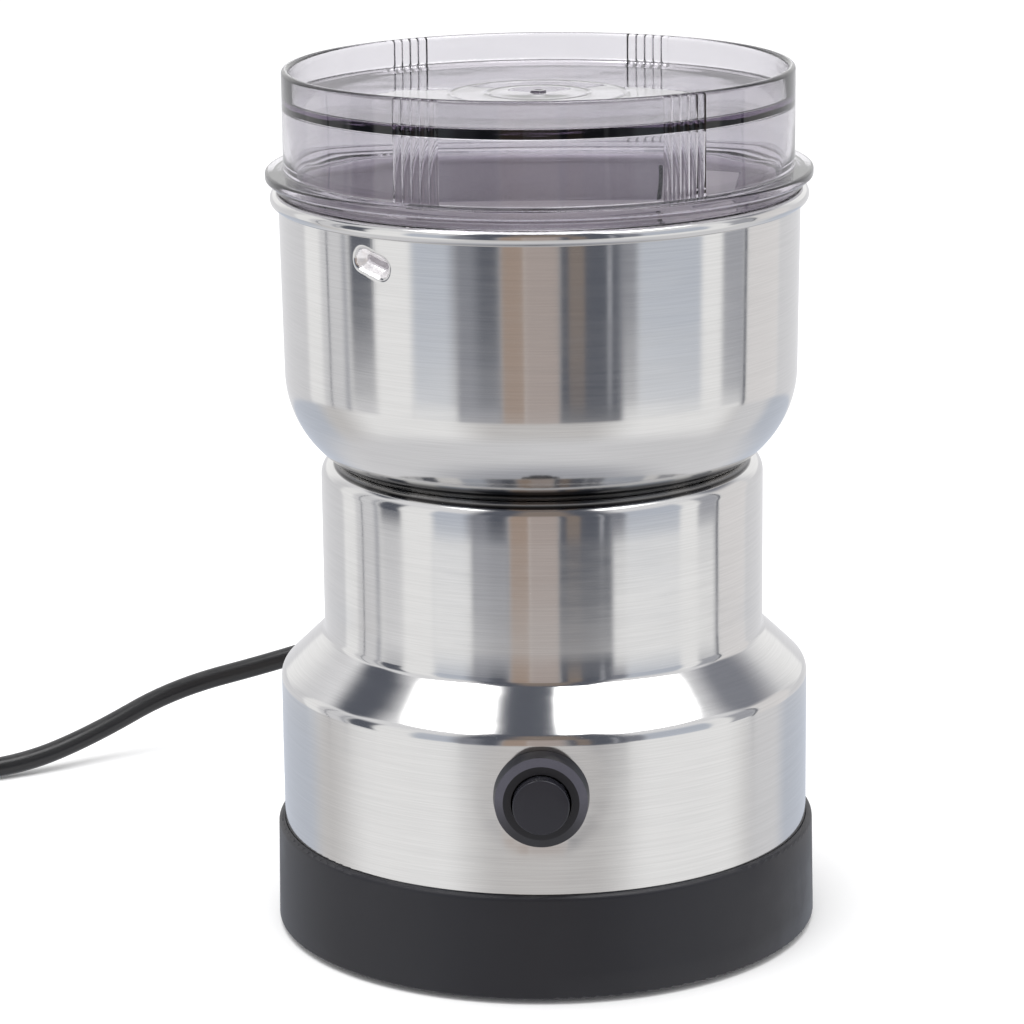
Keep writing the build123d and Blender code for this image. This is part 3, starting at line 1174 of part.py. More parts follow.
def biarc_middle(start, start_way, end, end_way):
    """The point where two arcs meet that join two points and their directions smoothly."""
    span = end - start
    ways = start_way + end_way
    lean = 2 * (1 - start_way.dot(end_way))
    along = span.dot(ways)
    reach = (sqrt(along**2 + lean * span.dot(span)) - along) / lean
    return (start + start_way * reach + end - end_way * reach) * 0.5


quarter_turns = round(COIL_TURNS * 4)
coil_lead = Vector(CORD_D, 0, 0)
with BuildPart() as cord_coil:
    with BuildLine() as coil_path:
        Line(coil_point(0) + coil_lead, coil_point(0))
        for quarter in range(quarter_turns):
            t0 = quarter / 4
            t1 = (quarter + 1) / 4
            start, end = coil_point(t0), coil_point(t1)
            way0, way1 = coil_direction(t0, COIL_TURNS), coil_direction(t1, COIL_TURNS)
            middle = biarc_middle(start, way0, end, way1)
            TangentArc(start, middle, tangent=way0)
            TangentArc(end, middle, tangent=way1 * -1)
        tail_start = coil_point(COIL_TURNS)
        tail_way = coil_direction(COIL_TURNS, COIL_TURNS)
        Line(tail_start, tail_start + tail_way * CORD_D)
    coil_wire = Wire(coil_path.edges())
    with BuildSketch(Plane(origin=coil_point(0) + coil_lead, z_dir=(-1, 0, 0))):
        Circle(CORD_D / 2)
    sweep(path=coil_wire)
coil_length = coil_wire.length
coil_samples = [coil_point(step / 160) for step in range(int(COIL_TURNS * 160) + 1)]
least_gap = min(
    (a - b).length - CORD_D
    for i, a in enumerate(coil_samples)
    for b in coil_samples[i + 80 :: 2]
)
print("coil length", round(coil_length, 1), "least self gap", round(least_gap, 2),
      "volume / (section x length)", round(cord_coil.part.volume / (coil_length * pi * CORD_D**2 / 4), 4))
finish(cord_coil.part, "cord_coil")

# Plug: flat two-pin plug lying on the table at the coil's end
plug_start = tail_start + tail_way * CORD_D
plug_back = plug_start + tail_way * PLUG_TAIL
plug_face = plug_back + tail_way * PLUG_LENGTH
plug_turn = Plane(origin=plug_back, x_dir=(1, 0, 0), z_dir=tail_way)
with BuildPart() as plug_body:
    with BuildSketch(plug_turn):
        RectangleRounded(PLUG_WIDTH * 0.55, PLUG_THICK, PLUG_THICK * 0.45)
    with BuildSketch(plug_turn.offset(PLUG_LENGTH * 0.45)):
        RectangleRounded(PLUG_WIDTH, PLUG_THICK, PLUG_THICK * 0.45)
    loft()
    with BuildSketch(plug_turn.offset(PLUG_LENGTH * 0.45)):
        RectangleRounded(PLUG_WIDTH, PLUG_THICK, PLUG_THICK * 0.45)
    extrude(amount=PLUG_LENGTH * 0.55)
    with BuildSketch(Plane(origin=plug_start, x_dir=(1, 0, 0), z_dir=tail_way)):
        Circle(CORD_D / 2 + BODY_GAP)
    extrude(amount=PLUG_TAIL * 0.35)
    with BuildSketch(plug_turn.offset(-PLUG_TAIL * 0.65)):
        Circle(CORD_D / 2 + BODY_GAP)
    with BuildSketch(plug_turn):
        Circle(CORD_D * 1.05)
    loft()
finish(plug_body.part, "plug_body")

with BuildPart() as plug_pins:
    with BuildSketch(Plane(origin=plug_face, x_dir=(1, 0, 0), z_dir=tail_way)):
        with Locations((PIN_SPACING / 2, 0), (-PIN_SPACING / 2, 0)):
            Circle(PIN_R)
    extrude(amount=PIN_LENGTH)
    fillet(plug_pins.edges().group_by(Axis.Y)[0], radius=PIN_R * 0.6)
finish(plug_pins.part, "plug_pins")

print("lead from boot to plug", round(cord_length + coil_length, 1))
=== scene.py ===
"""Looks of an electric coffee grinder: brushed steel cup and bowl, clear lid, black base.

Sizes in the classes are in millimetres, as on a workshop drawing, and turn into
metres where a mesh is made. +Z is up and the push button faces -Y.
"""
import logging
import math
from contextlib import contextmanager
from dataclasses import dataclass, field
from enum import Enum
from typing import Callable, Iterator, Sequence

import bmesh
import bpy
from mathutils import Matrix, Vector


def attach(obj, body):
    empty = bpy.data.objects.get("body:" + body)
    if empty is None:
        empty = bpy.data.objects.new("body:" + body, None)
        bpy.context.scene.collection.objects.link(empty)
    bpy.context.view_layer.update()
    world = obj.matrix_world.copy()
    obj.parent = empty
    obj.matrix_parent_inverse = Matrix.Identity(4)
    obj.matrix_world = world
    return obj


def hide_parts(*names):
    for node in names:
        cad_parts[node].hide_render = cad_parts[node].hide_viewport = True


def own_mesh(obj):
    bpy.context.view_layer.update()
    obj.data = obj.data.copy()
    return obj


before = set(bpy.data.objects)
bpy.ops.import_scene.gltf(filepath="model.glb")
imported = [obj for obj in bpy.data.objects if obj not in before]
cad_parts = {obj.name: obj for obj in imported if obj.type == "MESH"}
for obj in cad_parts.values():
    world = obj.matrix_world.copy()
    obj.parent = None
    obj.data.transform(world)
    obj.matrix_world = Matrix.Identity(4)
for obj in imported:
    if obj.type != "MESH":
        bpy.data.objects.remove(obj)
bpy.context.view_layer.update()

MM = 0.001
WELD = 2e-6  # vertices nearer than this, in metres, are merged
LOG = logging.getLogger("grinder")

Socket = bpy.types.NodeSocket
Node = bpy.types.Node
Piece = bpy.types.Object
Place = tuple[float, float, float]
Colour = tuple[float, float, float]


# Modelling


def clear_selection() -> None:
    """Go back to object mode and leave nothing selected."""
    if bpy.context.object is not None and bpy.context.object.mode != "OBJECT":
        bpy.ops.object.mode_set(mode="OBJECT")
    bpy.ops.object.select_all(action="DESELECT")


def focus(piece: Piece) -> None:
    """Make a piece the active object and the only selected one.

    Args:
        piece: The object.
    """
    clear_selection()
    piece.select_set(True)
    bpy.context.view_layer.objects.active = piece


@contextmanager
def editing(piece: Piece) -> Iterator[None]:
    """Hold a piece in edit mode while a block of code runs.

    Args:
        piece: The object.

    Yields:
        Nothing. The object is back in object mode afterwards.
    """
    focus(piece)
    bpy.ops.object.mode_set(mode="EDIT")
    yield
    bpy.ops.object.mode_set(mode="OBJECT")


def pick(piece: Piece, test: Callable[[Vector], bool], faces: bool = False) -> int:
    """Select the parts of a mesh in edit mode by where they are.

    Args:
        piece: The object, already in edit mode.
        test: Says of a place in metres whether what is there is selected.
        faces: Test the middles of faces instead of vertices.

    Returns:
        How many vertices or faces were selected.
    """
    mesh = bmesh.from_edit_mesh(piece.data)
    for item in (*mesh.faces, *mesh.edges, *mesh.verts):
        item.select = False
    if faces:
        bpy.context.tool_settings.mesh_select_mode = (False, False, True)
        chosen = [face for face in mesh.faces if test(face.calc_center_median())]
    else:
        bpy.context.tool_settings.mesh_select_mode = (True, False, False)
        chosen = [vertex for vertex in mesh.verts if test(vertex.co)]
    for item in chosen:
        item.select_set(True)
    bmesh.update_edit_mesh(piece.data)
    return len(chosen)


def push(move: Sequence[float], reach: float) -> None:
    """Move what is selected in edit mode, and what lies round it smoothly less.

    Args:
        move: How far it moves along x, y and z, in metres.
        reach: How far round it the move is felt, in metres.
    """
    bpy.ops.transform.translate(
        value=move,
        use_proportional_edit=True,
        proportional_edit_falloff="SMOOTH",
        proportional_size=reach,
    )


def around(radius: float, turn: float, height: float) -> Place:
    """Give a place by its radius, its turn from +X in degrees and its height."""
    angle = math.radians(turn)
    return (radius * math.cos(angle), radius * math.sin(angle), height)


def apply_modifier(piece: Piece, kind: str, **settings: object) -> None:
    """Give a piece one modifier and apply it.

    Args:
        piece: The object that is changed.
        kind: The modifier's type, such as "BEVEL".
        **settings: Values for the modifier's own settings.
    """
    focus(piece)
    modifier = piece.modifiers.new(kind.lower(), kind)
    for name, value in settings.items():
        setattr(modifier, name, value)
    bpy.ops.object.modifier_apply(modifier=modifier.name)


def cut_away(piece: Piece, cutter: Piece) -> None:
    """Cut one closed shape out of another and drop the cutter.

    Args:
        piece: The object that is cut.
        cutter: The shape that is taken out of it.
    """
    apply_modifier(piece, "BOOLEAN", operation="DIFFERENCE", solver="EXACT", object=cutter)
    bpy.data.objects.remove(cutter)
    if not piece.data.polygons:
        raise RuntimeError(f"nothing is left of {piece.name} after a cut")


def smooth(piece: Piece, angle: float = 32.0) -> None:
    """Shade a piece smooth, with edges kept sharp above an angle in degrees."""
    focus(piece)
    bpy.ops.object.shade_smooth_by_angle(angle=math.radians(angle))


def settle(piece: Piece) -> None:
    """Bring a piece's object back to the origin, with its place in its mesh."""
    focus(piece)
    bpy.ops.object.transform_apply(location=True, rotation=True, scale=True)


def block(name: str, size: Place, place: Place, turn: float = 0.0) -> Piece:
    """Add a box by its size, middle and turn about the upright axis.

    Args:
        name: The object's name.
        size: Its length along x, y and z before the turn, in mm.
        place: Its middle, in mm.
        turn: Degrees about +Z.

    Returns:
        The box, with its place in its mesh.
    """
    clear_selection()
    bpy.ops.mesh.primitive_cube_add(
        size=1.0,
        location=[value * MM for value in place],
        rotation=(0.0, 0.0, math.radians(turn)),
    )
    piece = bpy.context.active_object
    piece.name = name
    piece.scale = [value * MM for value in size]
    settle(piece)
    return piece


def rod(name: str, radius: float, length: float, place: Place, tilt: float = 0.0,
        sides: int = 96) -> Piece:
    """Add a round bar by its radius, length and middle.

    Args:
        name: The object's name.
        radius: In mm.
        length: In mm.
        place: Its middle, in mm.
        tilt: Degrees about +X, so 90 lays it along y.
        sides: How many flats stand for the circle.

    Returns:
        The bar, with its place in its mesh.
    """
    clear_selection()
    bpy.ops.mesh.primitive_cylinder_add(
        vertices=sides,
        radius=radius * MM,
        depth=length * MM,
        location=[value * MM for value in place],
        rotation=(math.radians(tilt), 0.0, 0.0),
    )
    piece = bpy.context.active_object
    piece.name = name
    settle(piece)
    return piece


@dataclass(frozen=True)
class Corner:
    """A corner of a turned piece's outline, in mm.

    Attributes:
        r: Distance from the axis.
        z: Height.
        radius: How far the corner is rounded.
        parts: Into how many parts the run that leads to the corner is divided.
    """

    r: float
    z: float
    radius: float = 0.0
    parts: int = 1


class ProfilePen:
    """Draws an outline in the plane y = 0 and turns it round the upright axis."""

    def __init__(self, name: str, r: float, z: float) -> None:
        """Put the pen down.

        Args:
            name: The name of the piece that is drawn.
            r: Distance from the axis in mm.
            z: Height in mm.
        """
        clear_selection()
        bpy.ops.mesh.primitive_plane_add(size=MM, location=(r * MM, 0.0, z * MM))
        self.piece: Piece = bpy.context.active_object
        self.piece.name = name
        self.at = Vector((r, z))
        settle(self.piece)
        bpy.ops.object.mode_set(mode="EDIT")
        bpy.context.tool_settings.mesh_select_mode = (True, False, False)
        bpy.ops.mesh.select_all(action="SELECT")
        bpy.ops.mesh.merge(type="CENTER")

    def line(self, r: float, z: float, parts: int = 1) -> None:
        """Draw a straight run.

        Args:
            r: Distance from the axis where it ends, in mm.
            z: Height where it ends, in mm.
            parts: Into how many equal parts it is divided.
        """
        step = (Vector((r, z)) - self.at) / parts
        if step.length * parts < 1e-4:
            return
        for _ in range(parts):
            bpy.ops.mesh.extrude_vertices_move(
                TRANSFORM_OT_translate={"value": (step.x * MM, 0.0, step.y * MM)}
            )
        self.at = Vector((r, z))

    def arc(self, centre: Vector, sweep: float) -> None:
        """Draw an arc from where the pen stands.

        Args:
            centre: Its centre, in mm.
            sweep: Its angle in radians, counter-clockwise with the axis on the left.
        """
        spoke = self.at - centre
        finest = 2.0 * math.acos(1.0 - min(0.005 / spoke.length, 0.015))
        bpy.ops.mesh.spin(
            steps=max(3, math.ceil(abs(sweep) / finest)),
            angle=sweep,
            center=(centre.x * MM, 0.0, centre.y * MM),
            axis=(0.0, 1.0, 0.0),
        )
        self.at = centre + Vector(
            (
                spoke.x * math.cos(sweep) - spoke.y * math.sin(sweep),
                spoke.x * math.sin(sweep) + spoke.y * math.cos(sweep),
            )
        )

    def trace(self, corners: Sequence[Corner]) -> None:
        """Draw runs from corner to corner, with each corner rounded as it says.

        Args:
            corners: The corners in order. The pen stands before the first.
        """
        for index, corner in enumerate(corners):
            place = Vector((corner.r, corner.z))
            if corner.radius == 0.0 or index + 1 == len(corners):
                self.line(corner.r, corner.z, corner.parts)
                continue
            following = Vector((corners[index + 1].r, corners[index + 1].z))
            back = (self.at - place).normalized()
            ahead = (following - place).normalized()
            half = back.angle(ahead) / 2.0
            start = place + back * corner.radius / math.tan(half)
            centre = place + (back + ahead).normalized() * corner.radius / math.sin(half)
            self.line(start.x, start.y, corner.parts)
            left = back.x * ahead.y - back.y * ahead.x < 0.0
            self.arc(centre, (math.pi - 2.0 * half) * (1.0 if left else -1.0))

    def turn(self, steps: int = 384, angle: float = 32.0) -> Piece:
        """Turn the outline round the axis.

        Args:
            steps: Steps of the full turn.
            angle: Edges above this angle in degrees stay sharp.

        Returns:
            The turned piece, in object mode.
        """
        bpy.ops.mesh.select_all(action="SELECT")
        bpy.ops.mesh.spin(
            steps=steps, angle=math.tau, center=(0.0, 0.0, 0.0), axis=(0.0, 0.0, 1.0)
        )
        bpy.ops.mesh.select_all(action="SELECT")
        bpy.ops.mesh.remove_doubles(threshold=WELD)
        bpy.ops.mesh.normals_make_consistent(inside=False)
        bpy.ops.object.mode_set(mode="OBJECT")
        smooth(self.piece, angle)
        if not self.piece.data.polygons:
            raise RuntimeError(f"{self.piece.name} has no faces after it was turned")
        return self.piece


# Effects that more than one finish uses


class Effect(Enum):
    """The shared effects, each built once as a group of shader nodes."""

    TURNED_LINES = "turned_lines"
    HANDLING = "handling_marks"
    GRAIN = "moulded_grain"
    DUST = "settled_dust"
    LAYERS = "stacked_layers"
    WAVES = "gentle_waves"


class NodeSheet:
    """Short ways to add and join nodes in one node tree."""

    def __init__(self, tree: bpy.types.NodeTree) -> None:
        """Take the tree that nodes go into."""
        self.tree = tree

    def add(self, kind: str, inputs: dict[object, object] | None = None,
            **settings: object) -> Node:
        """Add a node.

        Args:
            kind: The node's type name without its "ShaderNode".
            inputs: By name or number, a value or the output that feeds it.
            **settings: The node's own settings.

        Returns:
            The new node.
        """
        node = self.tree.nodes.new("ShaderNode" + kind)
        for name, value in settings.items():
            setattr(node, name, value)
        for key, value in (inputs or {}).items():
            self.feed(node.inputs[key], value)
        return node

    def feed(self, socket: Socket, value: object) -> None:
        """Set a socket to a value, or join an output to it.

        Args:
            socket: The input that is fed.
            value: A plain value, or the output that feeds it.
        """
        if isinstance(value, bpy.types.NodeSocket):
            self.tree.links.new(value, socket)
        else:
            socket.default_value = value

    def math(self, operation: str, first: object, second: object = 0.0) -> Socket:
        """Work out one number from two values or outputs."""
        return self.add("Math", {0: first, 1: second}, operation=operation).outputs[0]

    def span(self, value: object, start: object, end: object, low: object = 0.0, high: object = 1.0,
             ease: str = "SMOOTHSTEP") -> Socket:
        """Map a number from one range to another.

        Args:
            value: The number or output that is mapped.
            start: Where the first range starts.
            end: Where it ends.
            low: What its start becomes.
            high: What its end becomes.
            ease: Blender's name for how it goes between them.

        Returns:
            The output with the mapped number.
        """
        inputs = {"Value": value, "From Min": start, "From Max": end, "To Min": low, "To Max": high}
        return self.add("MapRange", inputs, interpolation_type=ease).outputs["Result"]

    def blend(self, share: object, first: object, second: object, how: str = "MIX") -> Socket:
        """Mix two colours.

        Args:
            share: How much of the second, 0 to 1.
            first: A colour or output.
            second: A colour or output.
            how: Blender's name for the way they mix.

        Returns:
            The output with the mixed colour.
        """
        node = self.add("Mix", data_type="RGBA", blend_type=how)
        self.feed(node.inputs["Factor"], share)
        self.feed([s for s in node.inputs if s.name == "A" and s.type == "RGBA"][0], first)
        self.feed([s for s in node.inputs if s.name == "B" and s.type == "RGBA"][0], second)
        return [s for s in node.outputs if s.type == "RGBA"][0]

    def noise(self, vector: object, scale: object, detail: float = 2.0, rough: float = 0.5,
              w: object | None = None) -> Socket:
        """Add a noise and give its number.

        Args:
            vector: Where it is read.
            scale: Its scale.
            detail: How many finer layers it has.
            rough: How strong these are.
            w: A fourth coordinate, if it has one.

        Returns:
            The output with the noise, from 0 to 1.
        """
        inputs = {"Vector": vector, "Scale": scale, "Detail": detail, "Roughness": rough}
        if w is not None:
            inputs["W"] = w
        kind = "3D" if w is None else "4D"
        node = self.tree.nodes.new("ShaderNodeTexNoise")
        node.noise_dimensions = kind
        for key, value in inputs.items():
            self.feed(node.inputs[key], value)
        return node.outputs["Fac"]


class EffectShelf:
    """Builds each shared effect the first time it is asked for."""

    def __init__(self) -> None:
        """Start with no effect built."""
        self.built: dict[Effect, bpy.types.NodeTree] = {}

    def get(self, effect: Effect) -> bpy.types.NodeTree:
        """Give an effect's node group, built if it isn't yet.

        Args:
            effect: Which one.

        Returns:
            Its node group.
        """
        if effect not in self.built:
            makers = {
                Effect.TURNED_LINES: self.turned_lines,
                Effect.HANDLING: self.handling_marks,
                Effect.GRAIN: self.moulded_grain,
                Effect.DUST: self.settled_dust,
                Effect.LAYERS: self.stacked_layers,
                Effect.WAVES: self.gentle_waves,
            }
            self.built[effect] = makers[effect]()
        return self.built[effect]

    def start(self, effect: Effect, inputs: dict[str, float],
              outputs: Sequence[str]) -> tuple[NodeSheet, Node, Node]:
        """Make an empty group with its sockets.

        Args:
            effect: Which effect it is for.
            inputs: Its numbers and their usual values, after the vector.
            outputs: The numbers that it puts out.

        Returns:
            The sheet to draw on, the group's input node and its output node.
        """
        tree = bpy.data.node_groups.new(effect.value, "ShaderNodeTree")
        tree.interface.new_socket("Vector", in_out="INPUT", socket_type="NodeSocketVector")
        for name, usual in inputs.items():
            socket = tree.interface.new_socket(name, in_out="INPUT", socket_type="NodeSocketFloat")
            socket.default_value = usual
        for name in outputs:
            tree.interface.new_socket(name, in_out="OUTPUT", socket_type="NodeSocketFloat")
        entry = tree.nodes.new("NodeGroupInput")
        exit_node = tree.nodes.new("NodeGroupOutput")
        return NodeSheet(tree), entry, exit_node

    def turned_lines(self) -> bpy.types.NodeTree:
        """Fine lines that a brush leaves on a piece turned about its axis.

        Returns:
            The effect's node group.
        """
        sheet, entry, leave = self.start(
            Effect.TURNED_LINES, {"Spacing": 0.0003, "Run": 5.0}, ("Lines", "Bands")
        )
        split = sheet.add("SeparateXYZ", {0: entry.outputs["Vector"]})
        x, y, z = split.outputs
        flat = sheet.add("CombineXYZ", {0: x, 1: y})
        reach = sheet.add("VectorMath", {0: flat.outputs[0]}, operation="LENGTH").outputs["Value"]
        reach = sheet.math("MAXIMUM", reach, 1e-4)
        around_x = sheet.math("MULTIPLY", sheet.math("DIVIDE", x, reach), entry.outputs["Run"])
        around_y = sheet.math("MULTIPLY", sheet.math("DIVIDE", y, reach), entry.outputs["Run"])
        rise = sheet.math("DIVIDE", z, entry.outputs["Spacing"])
        out = sheet.math("DIVIDE", reach, entry.outputs["Spacing"])
        fine = sheet.add("CombineXYZ", {0: around_x, 1: around_y, 2: rise}).outputs[0]
        lines = sheet.noise(fine, 1.0, detail=2.0, rough=0.6, w=out)
        broad = sheet.add(
            "CombineXYZ", {0: around_x, 1: around_y, 2: sheet.math("MULTIPLY", rise, 0.12)}
        ).outputs[0]
        bands = sheet.noise(broad, 1.0, detail=3.0, rough=0.7, w=sheet.math("MULTIPLY", out, 0.12))
        sheet.feed(leave.inputs["Lines"], lines)
        sheet.feed(leave.inputs["Bands"], bands)
        return sheet.tree

    def handling_marks(self) -> bpy.types.NodeTree:
        """Soft patches where hands and cloths have dulled a surface.

        Returns:
            The effect's node group.
        """
        sheet, entry, leave = self.start(Effect.HANDLING, {"Size": 0.02}, ("Marks",))
        scale = sheet.math("DIVIDE", 1.0, entry.outputs["Size"])
        cloud = sheet.noise(entry.outputs["Vector"], scale, detail=4.0, rough=0.6)
        sheet.feed(leave.inputs["Marks"], sheet.span(cloud, 0.42, 0.68))
        return sheet.tree

    def moulded_grain(self) -> bpy.types.NodeTree:
        """The fine uneven skin of a moulded plastic.

        Returns:
            The effect's node group.
        """
        sheet, entry, leave = self.start(Effect.GRAIN, {"Size": 0.0004}, ("Height", "Tone"))
        scale = sheet.math("DIVIDE", 1.0, entry.outputs["Size"])
        fine = sheet.noise(entry.outputs["Vector"], scale, detail=2.0)
        flow = sheet.noise(entry.outputs["Vector"], sheet.math("MULTIPLY", scale, 0.03), detail=3.0)
        cells = sheet.add(
            "TexVoronoi", {"Vector": entry.outputs["Vector"], "Scale": scale}, feature="SMOOTH_F1"
        ).outputs["Distance"]
        sheet.feed(leave.inputs["Height"], sheet.math("MULTIPLY", fine, cells))
        sheet.feed(leave.inputs["Tone"], sheet.math("ADD", sheet.math("MULTIPLY", fine, 0.35),
                                                   sheet.math("MULTIPLY", flow, 0.65)))
        return sheet.tree

    def settled_dust(self) -> bpy.types.NodeTree:
        """A thin dust on what faces up.

        Returns:
            The effect's node group.
        """
        sheet, entry, leave = self.start(Effect.DUST, {"Size": 0.006}, ("Dust",))
        normal = sheet.add("NewGeometry").outputs["Normal"]
        up = sheet.add("SeparateXYZ", {0: normal}).outputs[2]
        scale = sheet.math("DIVIDE", 1.0, entry.outputs["Size"])
        cloud = sheet.noise(entry.outputs["Vector"], scale, detail=5.0, rough=0.7)
        patch = sheet.span(cloud, 0.4, 0.75)
        sheet.feed(leave.inputs["Dust"], sheet.math("MULTIPLY", sheet.span(up, 0.55, 0.95), patch))
        return sheet.tree

    def stacked_layers(self) -> bpy.types.NodeTree:
        """Layers or turns of wire that lie on each other along z.

        Returns:
            The effect's node group.
        """
        sheet, entry, leave = self.start(Effect.LAYERS, {"Pitch": 0.0005}, ("Height", "Tone"))
        z = sheet.add("SeparateXYZ", {0: entry.outputs["Vector"]}).outputs[2]
        count = sheet.math("DIVIDE", z, entry.outputs["Pitch"])
        wobble = sheet.noise(entry.outputs["Vector"], 220.0, detail=1.0)
        count = sheet.math("ADD", count, sheet.math("MULTIPLY", wobble, 0.5))
        wave = sheet.math("SINE", sheet.math("MULTIPLY", count, math.tau))
        level = sheet.math("FLOOR", count)
        tone = sheet.add("TexWhiteNoise", {"W": level}, noise_dimensions="1D").outputs["Value"]
        sheet.feed(leave.inputs["Height"], sheet.span(wave, -1.0, 1.0, ease="LINEAR"))
        sheet.feed(leave.inputs["Tone"], tone)
        return sheet.tree

    def gentle_waves(self) -> bpy.types.NodeTree:
        """The shallow waves that forming leaves in a sheet or a moulding.

        Returns:
            The effect's node group.
        """
        sheet, entry, leave = self.start(Effect.WAVES, {"Size": 0.02}, ("Height",))
        scale = sheet.math("DIVIDE", 1.0, entry.outputs["Size"])
        sheet.feed(leave.inputs["Height"], sheet.noise(entry.outputs["Vector"], scale, detail=1.0))
        return sheet.tree


EFFECTS = EffectShelf()


class MaterialSheet(NodeSheet):
    """One material, with its Principled shader and object coordinates in place."""

    def __init__(self, name: str) -> None:
        """Start the material.

        Args:
            name: The material's name.
        """
        self.material = bpy.data.materials.new(name)
        self.material.use_nodes = True
        super().__init__(self.material.node_tree)
        self.tree.nodes.clear()
        self.output = self.add("OutputMaterial")
        self.shader = self.add("BsdfPrincipled")
        self.feed(self.output.inputs["Surface"], self.shader.outputs["BSDF"])
        self.coords = self.add("TexCoord").outputs["Object"]

    def effect(self, effect: Effect, **values: float) -> Node:
        """Place a shared effect with its own values.

        Args:
            effect: Which one.
            **values: Its inputs, by their names in small letters.

        Returns:
            The group's node.
        """
        node = self.tree.nodes.new("ShaderNodeGroup")
        node.node_tree = EFFECTS.get(effect)
        self.feed(node.inputs["Vector"], self.coords)
        for name, value in values.items():
            node.inputs[name.capitalize()].default_value = value
        return node

    def set(self, **values: object) -> None:
        """Set or feed the shader's sockets, by their names with _ for a space."""
        for name, value in values.items():
            key = name.replace("_", " ").title().replace("Ior", "IOR")
            self.feed(self.shader.inputs[key], value)

    def raise_by(self, height: Socket, depth: float, under: Socket | None = None) -> Socket:
        """Bump the surface.

        Args:
            height: The pattern, 0 to 1.
            depth: How deep it is, in mm.
            under: Another bump that this one lies on.

        Returns:
            The output with the changed normal.
        """
        inputs = {"Height": height, "Distance": depth * MM, "Strength": 1.0}
        if under is not None:
            inputs["Normal"] = under
        return self.add("Bump", inputs).outputs["Normal"]

    def stain(self, colour: object, pattern: Socket, share: float, stained: object) -> Socket:
        """Let a pattern take a colour part of the way to another.

        Args:
            colour: The colour or output under the pattern.
            pattern: The pattern, 0 to 1.
            share: How far it goes where the pattern is 1.
            stained: The colour that it goes to.

        Returns:
            The output with the changed colour.
        """
        return self.blend(self.math("MULTIPLY", pattern, share), colour, stained)


def tone(colour: Sequence[float], factor: float = 1.0) -> tuple[float, float, float, float]:
    """A colour with its alpha, made lighter or darker by a factor."""
    return (colour[0] * factor, colour[1] * factor, colour[2] * factor, 1.0)


# Finishes


# Near-black that painted shade darkens the steel towards, in the tight joint under the bowl and
# deep inside the bowl.
PAINTED_SHADE_TONE = (0.012, 0.011, 0.012)
DUST_TONE = (0.5, 0.48, 0.45)


@dataclass(frozen=True)
class BrushedSteel:
    """Stainless steel with the fine rings that brushing on a lathe leaves.

    Attributes:
        name: The material's name.
        colour: Its colour straight on.
        roughness: Its usual roughness.
        anisotropy: How much more it blurs across the rings.
        spacing: Distance between the rings in mm.
        depth: Depth of the rings in mm.
        metal: How metallic it is, less where scratches scatter the light.
        painted_shade: Heights in mm where painted shade starts, fades and has ended, darkening the
            steel where a tight joint lies in shade.
        painted_shade_share: How dark the painted shade gets.
    """

    name: str
    colour: Colour = (0.66, 0.655, 0.65)
    roughness: float = 0.095
    anisotropy: float = 0.35
    spacing: float = 0.22
    depth: float = 0.0002
    metal: float = 1.0
    painted_shade: tuple[float, float, float] | None = None
    painted_shade_share: float = 0.97

    def make(self) -> bpy.types.Material:
        """Build the material.

        Returns:
            The material, under the finish's name.
        """
        sheet = MaterialSheet(self.name)
        lines = sheet.effect(Effect.TURNED_LINES, spacing=self.spacing * MM, run=3.0)
        marks = sheet.effect(Effect.HANDLING, size=0.03)
        shade = sheet.span(lines.outputs["Lines"], 0.3, 0.7)
        colour = sheet.blend(shade, tone(self.colour, 0.96), tone(self.colour, 1.03))
        band = sheet.span(lines.outputs["Bands"], 0.35, 0.68)
        colour = sheet.stain(colour, band, 0.02, tone(self.colour, 0.55))
        colour = sheet.stain(colour, marks.outputs["Marks"], 0.05, tone(self.colour, 0.7))
        rough = sheet.span(lines.outputs["Bands"], 0.3, 0.7,
                           self.roughness - 0.01, self.roughness + 0.012)
        rough = sheet.math("ADD", rough, sheet.math("MULTIPLY", marks.outputs["Marks"], 0.02))
        if self.painted_shade is not None:
            z = sheet.add("SeparateXYZ", {0: sheet.coords}).outputs[2]
            start, fades, ended = self.painted_shade
            # painted shade: it thins out upwards, and just below the start by about half
            above = sheet.span(z, fades * MM, ended * MM, self.painted_shade_share, 0.0)
            below = sheet.span(z, (start - 0.5) * MM, (start + 0.3) * MM, 0.45, 1.0)
            colour = sheet.blend(sheet.math("MULTIPLY", above, below), colour, tone(PAINTED_SHADE_TONE))
        waves = sheet.effect(Effect.WAVES, size=0.011)
        normal = sheet.raise_by(waves.outputs["Height"], 0.012)
        normal = sheet.raise_by(lines.outputs["Lines"], self.depth, under=normal)
        sheet.set(base_color=colour, metallic=self.metal, roughness=rough, normal=normal,
                  anisotropic=self.anisotropy, anisotropic_rotation=0.25)
        return sheet.material


@dataclass(frozen=True)
class WorkedMetal:
    """Plain metal of a screw, shaft or blade, with a faint machined grain.

    Attributes:
        name: The material's name.
        colour: Its usual colour.
        roughness: Its roughness where no hand has dulled it.
        grain: Size of the grain in mm.
        depth: Depth of the grain in mm.
    """

    name: str
    colour: Colour
    roughness: float = 0.28
    grain: float = 0.6
    depth: float = 0.002

    def make(self) -> bpy.types.Material:
        """Build the material.

        Returns:
            The material, under the finish's name.
        """
        sheet = MaterialSheet(self.name)
        grain = sheet.effect(Effect.GRAIN, size=self.grain * MM)
        marks = sheet.effect(Effect.HANDLING, size=0.006)
        colour = sheet.blend(grain.outputs["Tone"], tone(self.colour, 0.86),
                             tone(self.colour, 1.06))
        colour = sheet.stain(colour, marks.outputs["Marks"], 0.12, tone(self.colour, 0.72))
        rough = sheet.span(marks.outputs["Marks"], 0.0, 1.0, self.roughness, self.roughness + 0.05)
        sheet.set(base_color=colour, metallic=1.0, roughness=rough,
                  normal=sheet.raise_by(grain.outputs["Height"], self.depth))
        return sheet.material


